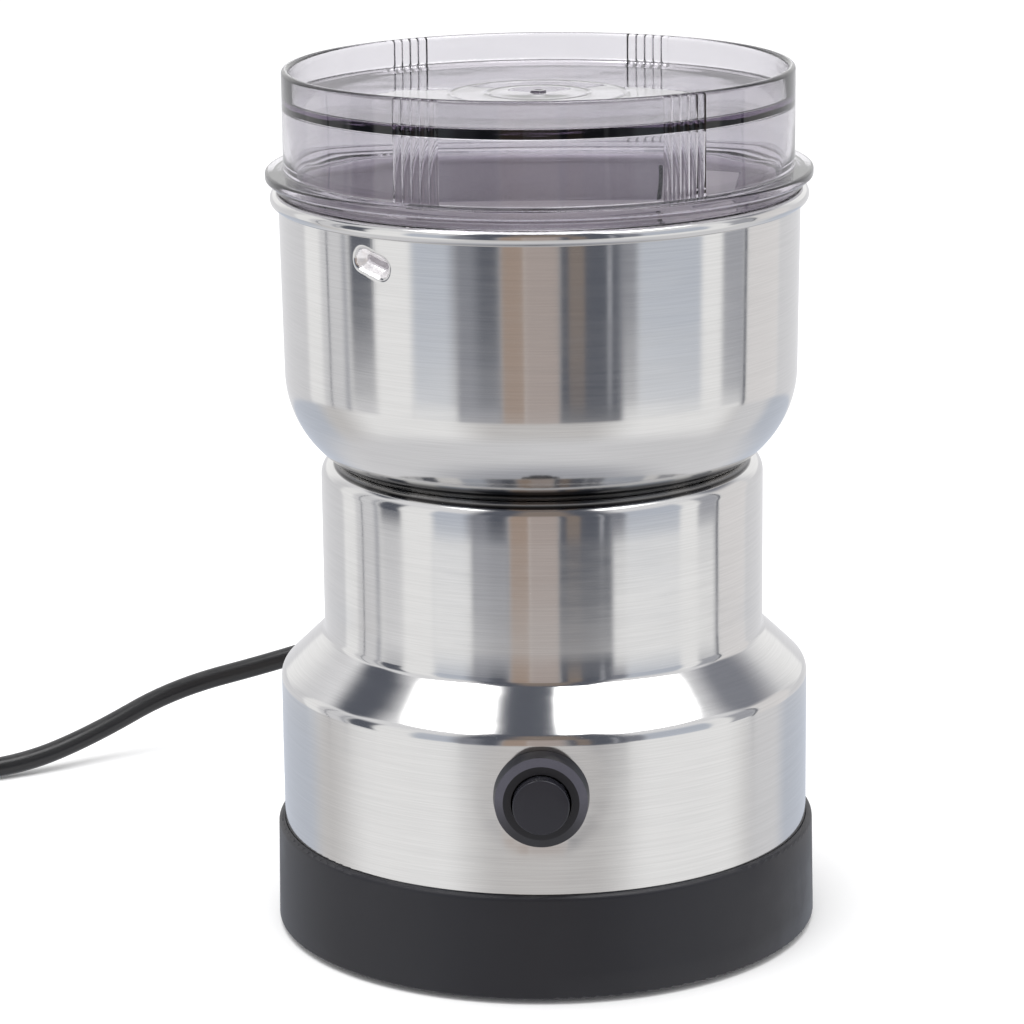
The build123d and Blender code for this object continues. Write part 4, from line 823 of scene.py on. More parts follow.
@dataclass(frozen=True)
class MouldedPlastic:
    """Moulded plastic, rubber or nylon with its fine skin and a little dust.

    Attributes:
        name: The material's name.
        colour: Its usual colour.
        roughness: Its usual roughness.
        grain: Size of the skin's grain in mm.
        depth: Depth of the grain in mm.
        dust: How much dust lies on what faces up.
        shine: Specular level.
        mottle: How much the grain changes the colour.
        painted_top_light: Lighter colour painted on what doesn't face down, as painted light
            falling from above.
    """

    name: str
    colour: Colour
    roughness: float = 0.42
    grain: float = 0.35
    depth: float = 0.006
    dust: float = 0.05
    shine: float = 0.5
    mottle: float = 0.15
    painted_top_light: Colour | None = None

    def make(self) -> bpy.types.Material:
        """Build the material.

        Returns:
            The material, under the finish's name.
        """
        sheet = MaterialSheet(self.name)
        grain = sheet.effect(Effect.GRAIN, size=self.grain * MM)
        marks = sheet.effect(Effect.HANDLING, size=0.018)
        dust = sheet.effect(Effect.DUST, size=0.004)
        colour = sheet.blend(grain.outputs["Tone"], tone(self.colour, 1.0 - self.mottle),
                             tone(self.colour, 1.0 + self.mottle))
        # painted light: faces that don't face down take the lighter haze colour, as if lit from
        # above
        if self.painted_top_light is not None:
            normal = sheet.add("NewGeometry").outputs["Normal"]
            up = sheet.add("SeparateXYZ", {0: normal}).outputs[2]
            painted_lit_colour = sheet.blend(grain.outputs["Tone"], tone(self.painted_top_light, 1.0 - self.mottle),
                               tone(self.painted_top_light, 1.0 + self.mottle))
            colour = sheet.blend(sheet.span(up, -0.28, 0.06), colour, painted_lit_colour)
        colour = sheet.stain(colour, dust.outputs["Dust"], self.dust, tone(DUST_TONE))
        rough = sheet.span(marks.outputs["Marks"], 0.0, 1.0, self.roughness, self.roughness - 0.06)
        rough = sheet.math("ADD", rough, sheet.math("MULTIPLY", dust.outputs["Dust"], 0.15))
        sheet.set(base_color=colour, metallic=0.0, roughness=rough, ior=1.5,
                  specular_ior_level=self.shine,
                  normal=sheet.raise_by(grain.outputs["Height"], self.depth))
        return sheet.material


@dataclass(frozen=True)
class ClearPlastic:
    """Clear moulded styrene with a faint lilac cast.

    Attributes:
        name: The material's name.
        colour: Colour that its faces give to the light.
        roughness: Its roughness where no hand has dulled it.
        soaked: Colour that a great thickness of it has.
        density: How fast it gets there.
    """

    name: str
    colour: Colour = (0.7, 0.69, 0.72)
    roughness: float = 0.015
    soaked: Colour = (0.12, 0.0, 0.2)
    density: float = 26.0

    def make(self) -> bpy.types.Material:
        """Build the material.

        Returns:
            The material, under the finish's name.
        """
        sheet = MaterialSheet(self.name)
        marks = sheet.effect(Effect.HANDLING, size=0.025)
        grain = sheet.effect(Effect.GRAIN, size=0.012)
        rough = sheet.span(marks.outputs["Marks"], 0.0, 1.0, self.roughness, self.roughness + 0.03)
        colour = sheet.blend(marks.outputs["Marks"], tone(self.colour), tone(self.colour, 0.985))
        waves = sheet.effect(Effect.WAVES, size=0.016)
        normal = sheet.raise_by(waves.outputs["Height"], 0.12)
        sheet.set(base_color=colour, metallic=0.0, roughness=rough, transmission_weight=1.0,
                  ior=1.5, normal=sheet.raise_by(grain.outputs["Tone"], 0.012, under=normal))
        path = sheet.add("LightPath").outputs
        through = sheet.math("MAXIMUM", path["Is Shadow Ray"], path["Is Diffuse Ray"])
        clear = sheet.add("BsdfTransparent", {"Color": (0.97, 0.965, 0.975, 1.0)})
        mix = sheet.add("MixShader", {0: through, 1: sheet.shader.outputs[0], 2: clear.outputs[0]})
        sheet.feed(sheet.output.inputs["Surface"], mix.outputs[0])
        soak = sheet.add("VolumeAbsorption", {"Color": tone(self.soaked), "Density": self.density})
        sheet.feed(sheet.output.inputs["Volume"], soak.outputs[0])
        return sheet.material


@dataclass(frozen=True)
class LayeredMetal:
    """Pressed laminations or turns of enamelled wire, layer on layer.

    Attributes:
        name: The material's name.
        colour: Colour of a layer's crest.
        dark: Colour between two layers.
        pitch: Height of one layer in mm.
        roughness: Its roughness.
        depth: Depth between two layers in mm.
        varnish: How much clear varnish lies on it.
    """

    name: str
    colour: Colour
    dark: Colour
    pitch: float = 0.5
    roughness: float = 0.35
    depth: float = 0.08
    varnish: float = 0.0

    def make(self) -> bpy.types.Material:
        """Build the material.

        Returns:
            The material, under the finish's name.
        """
        sheet = MaterialSheet(self.name)
        layers = sheet.effect(Effect.LAYERS, pitch=self.pitch * MM)
        marks = sheet.effect(Effect.HANDLING, size=0.01)
        colour = sheet.blend(layers.outputs["Height"], tone(self.dark), tone(self.colour))
        colour = sheet.stain(colour, layers.outputs["Tone"], 0.3, tone(self.dark))
        colour = sheet.stain(colour, marks.outputs["Marks"], 0.3, tone(self.dark, 1.2))
        sheet.set(base_color=colour, metallic=1.0, roughness=self.roughness,
                  coat_weight=self.varnish,
                  normal=sheet.raise_by(layers.outputs["Height"], self.depth))
        return sheet.material


STEEL = BrushedSteel("brushed_steel")
# painted shade: the bowl's underside turns near-black just above the neck's lip, where the joint
# lies in shade
BOWL_STEEL = BrushedSteel("bowl_steel", painted_shade=(94.3, 95.7, 97.0))
# painted shade: the inside is darkened a fifth below 130 mm, fading out by 143 mm, deeper in the
# bowl where less light reaches
BOWL_INSIDE = BrushedSteel("bowl_inside", (0.95, 0.93, 0.94), roughness=0.2, anisotropy=0.3,
                           spacing=0.4, depth=0.001, metal=0.5, painted_shade=(60.0, 130.0, 143.0),
                           painted_shade_share=0.2)
BASE = MouldedPlastic("charcoal_base", (0.012, 0.012, 0.016), roughness=0.45, shine=0.36)
RUBBER = MouldedPlastic("black_rubber", (0.018, 0.018, 0.019), roughness=0.7, grain=0.5,
                        depth=0.012)
SCREW = WorkedMetal("plated_screw", (0.62, 0.61, 0.58), roughness=0.25)
NYLON = MouldedPlastic("white_nylon", (0.78, 0.77, 0.73), roughness=0.45, grain=0.5)
BRACKET = MouldedPlastic("motor_bracket", (0.07, 0.055, 0.045), roughness=0.5, grain=0.5)
SHAFT = WorkedMetal("ground_shaft", (0.6, 0.6, 0.6), roughness=0.22)
BUSH = WorkedMetal("sintered_bush", (0.5, 0.34, 0.18), roughness=0.42, grain=0.3, depth=0.01)
IRON = LayeredMetal("laminated_iron", (0.42, 0.42, 0.43), (0.12, 0.12, 0.13), pitch=0.5)
COPPER = LayeredMetal("copper_wire", (0.78, 0.33, 0.14), (0.3, 0.1, 0.04), pitch=0.55, varnish=0.6)
BARS = WorkedMetal("commutator_bars", (0.82, 0.42, 0.24), roughness=0.25)
BRASS = WorkedMetal("pressed_brass", (0.76, 0.58, 0.27), roughness=0.3)
CARBON = MouldedPlastic("carbon_brush", (0.02, 0.02, 0.022), roughness=0.55, grain=0.2, depth=0.01)
CAPACITOR = MouldedPlastic("capacitor_shell", (0.55, 0.36, 0.06), roughness=0.35, grain=0.6)
BEZEL = MouldedPlastic("switch_bezel", (0.011, 0.011, 0.014), roughness=0.4, grain=0.3,
                       depth=0.004, shine=0.3)
# the chamfer is partly its own lighter, coarser-grained plastic and partly painted light: its haze
# lightens the faces that don't face down
CHAMFER = MouldedPlastic("bezel_chamfer", (0.016, 0.016, 0.02), roughness=0.45, grain=0.22,
                         depth=0.008, shine=0.4, mottle=0.4, painted_top_light=(0.064, 0.062, 0.08))
BUTTON = MouldedPlastic("button_cap", (0.016, 0.016, 0.021), roughness=0.22, grain=0.3,
                        depth=0.002, shine=0.3)
HUB = MouldedPlastic("blade_hub", (0.03, 0.03, 0.032), roughness=0.4)
BLADE = WorkedMetal("ground_blade", (0.66, 0.655, 0.65), roughness=0.24, grain=0.8)
CLEAR = ClearPlastic("clear_lid")
SHEATH = MouldedPlastic("black_sheath", (0.012, 0.012, 0.013), roughness=0.34, grain=0.5,
                        depth=0.004, dust=0.03)
PLUG = MouldedPlastic("black_plug", (0.014, 0.014, 0.015), roughness=0.38, grain=0.4, dust=0.012)
PIN = WorkedMetal("nickel_pin", (0.7, 0.68, 0.62), roughness=0.18)

Finish = BrushedSteel | WorkedMetal | MouldedPlastic | ClearPlastic | LayeredMetal


class PaintShop:
    """Makes each finish once and gives it to pieces and CAD nodes."""

    def __init__(self) -> None:
        """Start with no material made."""
        self.made: dict[str, bpy.types.Material] = {}

    def material(self, finish: Finish) -> bpy.types.Material:
        """Give a finish's material, made if it isn't yet.

        Args:
            finish: Which one.

        Returns:
            Its material, the same one each time.
        """
        if finish.name not in self.made:
            self.made[finish.name] = finish.make()
        return self.made[finish.name]

    def dress(self, piece: Piece, finish: Finish) -> None:
        """Give a new piece its finish.

        Args:
            piece: The piece.
            finish: What it is finished with.
        """
        piece.data.materials.clear()
        piece.data.materials.append(self.material(finish))

    def dress_node(self, node: str, finish: Finish) -> None:
        """Give a CAD node its finish through its object's slots.

        Args:
            node: The node's name.
            finish: What it is finished with.
        """
        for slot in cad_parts[node].material_slots:
            slot.link = "OBJECT"
            slot.material = self.material(finish)
        LOG.info("%s: CAD node in %s", node, finish.name)


PAINT = PaintShop()


def seat(piece: Piece, body: str, slot: str, finish: Finish, *nodes: str) -> None:
    """Finish a piece, let it ride on its body and stand for its CAD nodes.

    Args:
        piece: The piece, in place.
        body: The CAD body that it moves with.
        slot: The record's material slot; not used.
        finish: What it is finished with.
        *nodes: The CAD nodes that it stands for.
    """
    PAINT.dress(piece, finish)
    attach(piece, body)
    if nodes:
        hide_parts(*nodes)
    faces = len(piece.data.polygons) if piece.type == "MESH" else 0
    LOG.info("%s: %s, %d faces, stands for %s", piece.name, finish.name, faces, ", ".join(nodes))


def refinish(piece: Piece, finish: Finish, test: Callable[[Vector], bool]) -> None:
    """Give some faces of a finished piece a second finish.

    Args:
        piece: The piece, already in its first finish.
        finish: What the faces are finished with.
        test: Says of a face's middle, in metres, whether it is one of them.
    """
    piece.data.materials.append(PAINT.material(finish))
    with editing(piece):
        found = pick(piece, test, faces=True)
        piece.active_material_index = 1
        bpy.ops.object.material_slot_assign()
    LOG.info("%s: %d faces in %s", piece.name, found, finish.name)


def smooth_copy(node: str, name: str, angle: float = 30.0) -> Piece:
    """Copy a CAD node, join its loose triangles and shade it smooth.

    Args:
        node: The node that is copied.
        name: The copy's name.
        angle: Edges above this angle in degrees stay sharp.

    Returns:
        The copy, with its own mesh.
    """
    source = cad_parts[node]
    piece = bpy.data.objects.new(name, source.data.copy())
    bpy.context.scene.collection.objects.link(piece)
    with editing(piece):
        bpy.ops.mesh.select_all(action="SELECT")
        bpy.ops.mesh.remove_doubles(threshold=WELD)
    if piece.data.has_custom_normals:
        bpy.ops.mesh.customdata_custom_splitnormals_clear()
    smooth(piece, angle)
    return piece


# Studio: camera, room, lamp and floor


@dataclass(frozen=True)
class RoomPanel:
    """A panel of the room that the steel reflects.

    Attributes:
        start: Where it starts, in degrees from the front towards +X.
        end: Where it ends.
        light: Its brightness for red, green and blue.
        soft: Over how many degrees its upright edges fade.
        low: Elevation of its lower edge in degrees.
        high: Elevation of its upper edge.
        fade: Over how many degrees the lower and upper edges fade.
    """

    start: float
    end: float
    light: Colour
    soft: float = 4.0
    low: float = -95.0
    high: float = 95.0
    fade: float = 4.0


WHITE = (1.1, 1.1, 1.1)
CREAM = (0.94, 0.92, 0.92)
PEARL = (0.84, 0.84, 0.86)
SKY = (0.64, 0.68, 0.76)
STONE = (0.48, 0.49, 0.53)
ASH = (0.29, 0.3, 0.34)
SLATE = (0.13, 0.14, 0.17)
BLUSH = (0.52, 0.45, 0.42)
TAN = (0.46, 0.36, 0.3)
UMBER = (0.3, 0.25, 0.22)
SOFTBOX = (5.0, 5.0, 5.0)


@dataclass
class Studio:
    """Camera, room, lamp and floor.

    Attributes:
        camera_place: Where the camera stands, in mm.
        yaw: How far it looks past +Y towards +X, in degrees.
        pitch: How far it looks down.
        roll: How far it is tilted on its line of sight.
        lens: Its focal length in mm, for a sensor 36 mm wide.
        wall_tone: Tone of the bare wall.
        table_tone: Tone of the bare table.
        ceiling_tone: Tone of the bare ceiling.
        table_edge: Elevations in degrees between which the table passes into the wall.
        cornice: Elevations between which the wall passes into the ceiling.
        walls: The panels on the wall, later ones in front.
        ceiling: The panels on the ceiling.
        table: The sheets on the table.
        lamp_place: Where the lamp hangs, in mm.
        lamp_aim: The place that it shines at.
        lamp_size: Its length and width.
        lamp_power: Its power in watts.
        floor_middle: Middle of the floor.
        floor_size: Length of its sides.
        floor_tones: Tone of the floor, and of its dulled patches.
    """

    camera_place: Place = (10.35, -741.4, 269.2)
    yaw: float = -1.257
    pitch: float = 14.205
    roll: float = -0.677
    lens: float = 138.33
    wall_tone: Colour = (1.0, 1.0, 1.0)
    table_tone: Colour = (0.74, 0.725, 0.72)
    ceiling_tone: Colour = (0.98, 0.98, 1.0)
    table_edge: tuple[float, float] = (-17.3, -15.5)
    cornice: tuple[float, float] = (18.0, 34.0)
    walls: tuple[RoomPanel, ...] = (
        RoomPanel(-181.0, -93.0, PEARL, soft=8.0),
        RoomPanel(-125.0, -112.0, WHITE),
        RoomPanel(-107.0, -106.0, SLATE, soft=1.0),
        RoomPanel(-96.0, -93.0, STONE),
        RoomPanel(-91.0, -77.0, PEARL, soft=8.0),
        RoomPanel(-91.0, -77.0, SLATE, low=-13.0, fade=1.0),
        RoomPanel(-76.0, -58.0, WHITE),
        RoomPanel(-57.0, -36.0, SKY, soft=5.0),
        RoomPanel(-38.0, -16.0, ASH, soft=8.0),
        RoomPanel(-27.0, -17.0, SLATE, soft=7.0),
        RoomPanel(-16.0, -6.0, TAN, soft=2.0),
        RoomPanel(-6.0, 9.0, BLUSH, soft=2.0),
        RoomPanel(9.0, 37.0, SLATE, soft=3.0),
        RoomPanel(13.0, 20.0, UMBER, soft=2.0),
        RoomPanel(30.0, 32.0, STONE, soft=1.0),
        RoomPanel(35.0, 45.0, ASH, soft=5.0),
        RoomPanel(44.0, 77.0, SKY, soft=6.0),
        RoomPanel(76.0, 88.0, WHITE),
        RoomPanel(88.0, 102.0, STONE),
        RoomPanel(102.0, 104.0, SLATE, soft=1.0),
        RoomPanel(105.0, 131.0, CREAM),
        RoomPanel(131.0, 181.0, PEARL, soft=5.0),
        RoomPanel(-58.0, -36.0, WHITE, soft=5.0, high=-14.0, fade=2.0),
        RoomPanel(-35.0, -17.0, STONE, high=-14.0, fade=2.0),
        RoomPanel(9.0, 37.0, SLATE, soft=2.0, high=-14.0, fade=2.0),
        RoomPanel(37.0, 101.0, WHITE, high=-14.0, fade=2.0),
        RoomPanel(140.0, 220.0, WHITE, soft=20.0, low=3.0, high=36.0),
    )
    ceiling: tuple[RoomPanel, ...] = (
        RoomPanel(-38.0, 38.0, SLATE, soft=14.0),
        RoomPanel(-14.0, 16.0, UMBER, soft=12.0, high=60.0, fade=12.0),
        RoomPanel(-123.0, -100.0, SLATE, soft=14.0, low=33.0, high=53.0, fade=8.0),
        RoomPanel(106.0, 138.0, ASH, soft=18.0, low=20.0, high=47.0, fade=12.0),
        RoomPanel(-96.0, -44.0, SOFTBOX, soft=10.0, low=53.0, high=71.0),
        RoomPanel(40.0, 104.0, SOFTBOX, soft=10.0, low=50.0, high=71.0),
        RoomPanel(-181.0, 181.0, SLATE, low=72.0),
        RoomPanel(14.0, 100.0, SOFTBOX, soft=12.0, low=66.0),
    )
    table: tuple[RoomPanel, ...] = (
        RoomPanel(-94.0, -32.0, WHITE, soft=28.0),
        RoomPanel(34.0, 98.0, WHITE, soft=28.0),
        RoomPanel(100.0, 150.0, PEARL, soft=16.0),
        RoomPanel(-181.0, -118.0, SKY, soft=16.0),
        RoomPanel(126.0, 181.0, SKY, soft=14.0),
        RoomPanel(-181.0, 181.0, PEARL, high=-34.0, fade=16.0),
        RoomPanel(-181.0, 181.0, STONE, high=-66.0, fade=22.0),
    )
    lamp_place: Place = (-120.0, -200.0, 1100.0)
    lamp_aim: Place = (0.0, 0.0, 100.0)
    lamp_size: tuple[float, float] = (900.0, 700.0)
    lamp_power: float = 7.0
    floor_middle: Place = (0.0, 2000.0, 0.0)
    floor_size: float = 8000.0
    floor_tones: tuple[Colour, Colour] = ((0.96, 0.96, 0.96), (0.94, 0.94, 0.945))

    def build(self) -> None:
        """Set up the camera, the room, the lamp and the floor."""
        self.place_camera()
        self.paint_room()
        self.hang_lamp()
        self.lay_floor()

    def place_camera(self) -> None:
        """Put the camera where the photograph was taken from."""
        yaw, pitch, roll = (math.radians(v) for v in (self.yaw, self.pitch, self.roll))
        forward = Vector(
            (math.sin(yaw) * math.cos(pitch), math.cos(yaw) * math.cos(pitch), -math.sin(pitch))
        )
        level = Vector((math.cos(yaw), -math.sin(yaw), 0.0))
        upright = level.cross(forward)
        right = level * math.cos(roll) + upright * math.sin(roll)
        up = upright * math.cos(roll) - level * math.sin(roll)
        lens = bpy.data.cameras.new("photo_camera")
        lens.lens = self.lens
        lens.sensor_width = 36.0
        lens.clip_start = 0.01
        lens.clip_end = 20.0
        camera = bpy.data.objects.new("photo_camera", lens)
        bpy.context.scene.collection.objects.link(camera)
        axes = Matrix((right, up, -forward)).transposed().to_4x4()
        camera.matrix_world = Matrix.Translation([v * MM for v in self.camera_place]) @ axes
        bpy.context.scene.camera = camera

    def panel_group(self) -> bpy.types.NodeTree:
        """A panel with soft edges, laid over what is behind it.

        Returns:
            The node group of one panel.
        """
        tree = bpy.data.node_groups.new("room_panel", "ShaderNodeTree")
        colours = ("Behind", "Light")
        for name in ("Behind", "Azimuth", "Elevation", "Middle", "Inner", "Outer", "Low", "High",
                     "Fade", "Light"):
            kind = "NodeSocketColor" if name in colours else "NodeSocketFloat"
            tree.interface.new_socket(name, in_out="INPUT", socket_type=kind)
        tree.interface.new_socket("Color", in_out="OUTPUT", socket_type="NodeSocketColor")
        sheet = NodeSheet(tree)
        entry = tree.nodes.new("NodeGroupInput").outputs
        leave = tree.nodes.new("NodeGroupOutput").inputs
        away = sheet.math("ABSOLUTE", sheet.math("SUBTRACT", entry["Azimuth"], entry["Middle"]))
        away = sheet.math("MINIMUM", away, sheet.math("SUBTRACT", 360.0, away))
        share = sheet.span(away, entry["Inner"], entry["Outer"], 1.0, 0.0)
        height = entry["Elevation"]
        over = sheet.span(height, sheet.math("SUBTRACT", entry["Low"], entry["Fade"]),
                          sheet.math("ADD", entry["Low"], entry["Fade"]))
        under = sheet.span(height, sheet.math("SUBTRACT", entry["High"], entry["Fade"]),
                           sheet.math("ADD", entry["High"], entry["Fade"]), 1.0, 0.0)
        share = sheet.math("MULTIPLY", share, sheet.math("MULTIPLY", over, under))
        sheet.feed(leave["Color"], sheet.blend(share, entry["Behind"], entry["Light"]))
        return tree

    def hang(self, sheet: NodeSheet, angles: tuple[Socket, Socket], behind: object,
             panels: Sequence[RoomPanel], group: bpy.types.NodeTree) -> object:
        """Lay panels over a tone, one after the other.

        Args:
            sheet: The world's node sheet.
            angles: The outputs with the direction's azimuth and elevation in degrees.
            behind: The tone behind the panels.
            panels: The panels, later ones in front.
            group: The node group of one panel.

        Returns:
            The output with the room's colour.
        """
        for panel in panels:
            node = sheet.tree.nodes.new("ShaderNodeGroup")
            node.node_tree = group
            half = (panel.end - panel.start) / 2.0
            values = {
                "Behind": behind, "Azimuth": angles[0], "Elevation": angles[1],
                "Middle": (panel.start + panel.end) / 2.0,
                "Inner": half - panel.soft / 2.0, "Outer": half + panel.soft / 2.0,
                "Low": panel.low, "High": panel.high, "Fade": panel.fade / 2.0,
                "Light": (*panel.light, 1.0),
            }
            for name, value in values.items():
                sheet.feed(node.inputs[name], value)
            behind = node.outputs["Color"]
        return behind

    def paint_room(self) -> None:
        """Paint the room that glossy pieces reflect, and an even light for the rest."""
        world = bpy.data.worlds.new("studio_room")
        bpy.context.scene.world = world
        world.use_nodes = True
        world.cycles.sampling_method = "NONE"
        sheet = NodeSheet(world.node_tree)
        sheet.tree.nodes.clear()
        direction = sheet.add("TexCoord").outputs["Generated"]
        x, y, z = sheet.add("SeparateXYZ", {0: direction}).outputs
        to_degrees = 180.0 / math.pi
        front = sheet.math("MULTIPLY", y, -1.0)
        azimuth = sheet.math("MULTIPLY", sheet.math("ARCTAN2", x, front), to_degrees)
        elevation = sheet.math("MULTIPLY", sheet.math("ARCSINE", z), to_degrees)
        angles = (azimuth, elevation)
        group = self.panel_group()
        walls = self.hang(sheet, angles, tone(self.wall_tone), self.walls, group)
        table = self.hang(sheet, angles, tone(self.table_tone), self.table, group)
        ceiling = self.hang(sheet, angles, tone(self.ceiling_tone), self.ceiling, group)
        seen = sheet.blend(sheet.span(elevation, *self.table_edge), table, walls)
        seen = sheet.blend(sheet.span(elevation, *self.cornice), seen, ceiling)
        plain = tone(WHITE)
        path = sheet.add("LightPath").outputs
        mirrored = sheet.math("MULTIPLY", path["Is Glossy Ray"],
                              sheet.math("SUBTRACT", 1.0, path["Is Transmission Ray"]))
        colour = sheet.blend(mirrored, plain, seen)
        background = sheet.add("Background", {"Color": colour, "Strength": 1.0})
        output = sheet.add("OutputWorld")
        sheet.feed(output.inputs["Surface"], background.outputs[0])

    def hang_lamp(self) -> None:
        """Hang one large soft lamp above."""
        lamp = bpy.data.lights.new("overhead_softbox", "AREA")
        lamp.shape = "RECTANGLE"
        lamp.size, lamp.size_y = (side * MM for side in self.lamp_size)
        lamp.energy = self.lamp_power
        softbox = bpy.data.objects.new("overhead_softbox", lamp)
        bpy.context.scene.collection.objects.link(softbox)
        softbox.location = [value * MM for value in self.lamp_place]
        direction = Vector(self.lamp_aim) - Vector(self.lamp_place)
        softbox.rotation_euler = direction.to_track_quat("-Z", "Y").to_euler()
        softbox.visible_glossy = False

    def lay_floor(self) -> None:
        """Lay the pale floor that everything stands on."""
        clear_selection()
        bpy.ops.mesh.primitive_plane_add(
            size=self.floor_size * MM, location=[value * MM for value in self.floor_middle]
        )
        floor = bpy.context.active_object
        floor.name = "pale_floor"
        sheet = MaterialSheet("pale_floor")
        marks = sheet.effect(Effect.HANDLING, size=0.3)
        clean, dulled = self.floor_tones
        colour = sheet.blend(marks.outputs["Marks"], tone(clean), tone(dulled))
        sheet.set(base_color=colour, roughness=0.9, specular_ior_level=0.0)
        floor.data.materials.append(sheet.material)
        floor.visible_glossy = False


# Mains lead


@dataclass
class MainsLead:
    """The lead from the grinder's back, its coil and its plug.

    Attributes:
        diameter: Of the sheath, in mm.
        route: The corners of its way from the boot to the coil, in mm.
        coil_centre: Middle of the coil, in mm.
        coil_radius: Of the outermost turn.
        turn_step: Distance from turn to turn.
        layer_step: How high the second layer lies above the first.
        turns: How many turns the coil has.
        inmost: The turn at which it stops winding inwards.
        climb: The turn at which it starts up to the second layer, and over how many turns.
        points_per_turn: Spline points in each turn.
        plug_y: Where the lead enters the plug's tail.
    """

    diameter: float = 4.4
    route: tuple[Place, ...] = (
        (0.0, 76.0, 38.7),
        (0.0, 90.0, 38.7),
        (-7.5, 102.9, 36.4),
        (-20.8, 110.0, 32.6),
        (-39.0, 111.9, 26.2),
        (-62.0, 110.3, 19.2),
        (-85.0, 106.5, 14.1),
        (-102.0, 97.0, 6.4),
        (-116.0, 87.9, 2.6),
        (-131.0, 81.1, 2.3),
        (-147.0, 76.2, 2.3),
    )
    coil_centre: Place = (-165.4, 46.7, 2.3)
    coil_radius: float = 29.5
    turn_step: float = 5.1
    layer_step: float = 4.9
    turns: float = 4.25
    inmost: float = 2.25
    climb: tuple[float, float] = (2.0, 0.5)
    points_per_turn: int = 16
    plug_y: float = 42.3

    def coil_points(self) -> list[Place]:
        """Give the coil's points, which wind inwards below and outwards above.

        Returns:
            The points in mm, from the outermost turn on.
        """
        points = []
        for step in range(int(self.turns * self.points_per_turn) + 1):
            turn = step / self.points_per_turn
            inwards = self.inmost - abs(turn - self.inmost)
            radius = self.coil_radius - self.turn_step * inwards
            angle = math.tau * turn + math.pi / 2.0
            share = min(max((turn - self.climb[0]) / self.climb[1], 0.0), 1.0)
            points.append(
                (
                    self.coil_centre[0] + radius * math.cos(angle),
                    self.coil_centre[1] + radius * math.sin(angle),
                    self.coil_centre[2] + self.layer_step * share * share * (3.0 - 2.0 * share),
                )
            )
        return points

    def draw_cord(self) -> Piece:
        """Draw the lead as one smooth spline, coil and all.

        Returns:
            The lead as a round curve.
        """
        points = [*self.route, *self.coil_points()]
        last = points[-1]
        points.append((last[0], self.plug_y, last[2]))
        curve = bpy.data.curves.new("power_lead", "CURVE")
        curve.dimensions = "3D"
        spline = curve.splines.new("NURBS")
        spline.points.add(len(points) - 1)
        for point, place in zip(spline.points, points):
            point.co = (place[0] * MM, place[1] * MM, place[2] * MM, 1.0)
        spline.order_u = 3
        spline.use_endpoint_u = True
        spline.resolution_u = 8
        curve.bevel_depth = self.diameter / 2.0 * MM
        curve.bevel_resolution = 7
        curve.use_fill_caps = True
        cord = bpy.data.objects.new("power_lead", curve)
        bpy.context.scene.collection.objects.link(cord)
        return cord

    def build(self) -> None:
        cord = self.draw_cord()
        seat(cord, "housing", "cord_pvc", SHEATH, "power_cord", "cord_coil")
        cord.visible_glossy = False
        boot = smooth_copy("cord_boot", "lead_boot")
        seat(boot, "housing", "cord_pvc", SHEATH, "cord_boot")
        plug = smooth_copy("plug_body", "mains_plug")
        seat(plug, "housing", "plug_plastic", PLUG, "plug_body")
        pins = smooth_copy("plug_pins", "mains_pins")
        seat(pins, "housing", "pin_metal", PIN, "plug_pins")
        for piece in (plug, pins):
            piece.visible_glossy = False


# Steel body and bowl


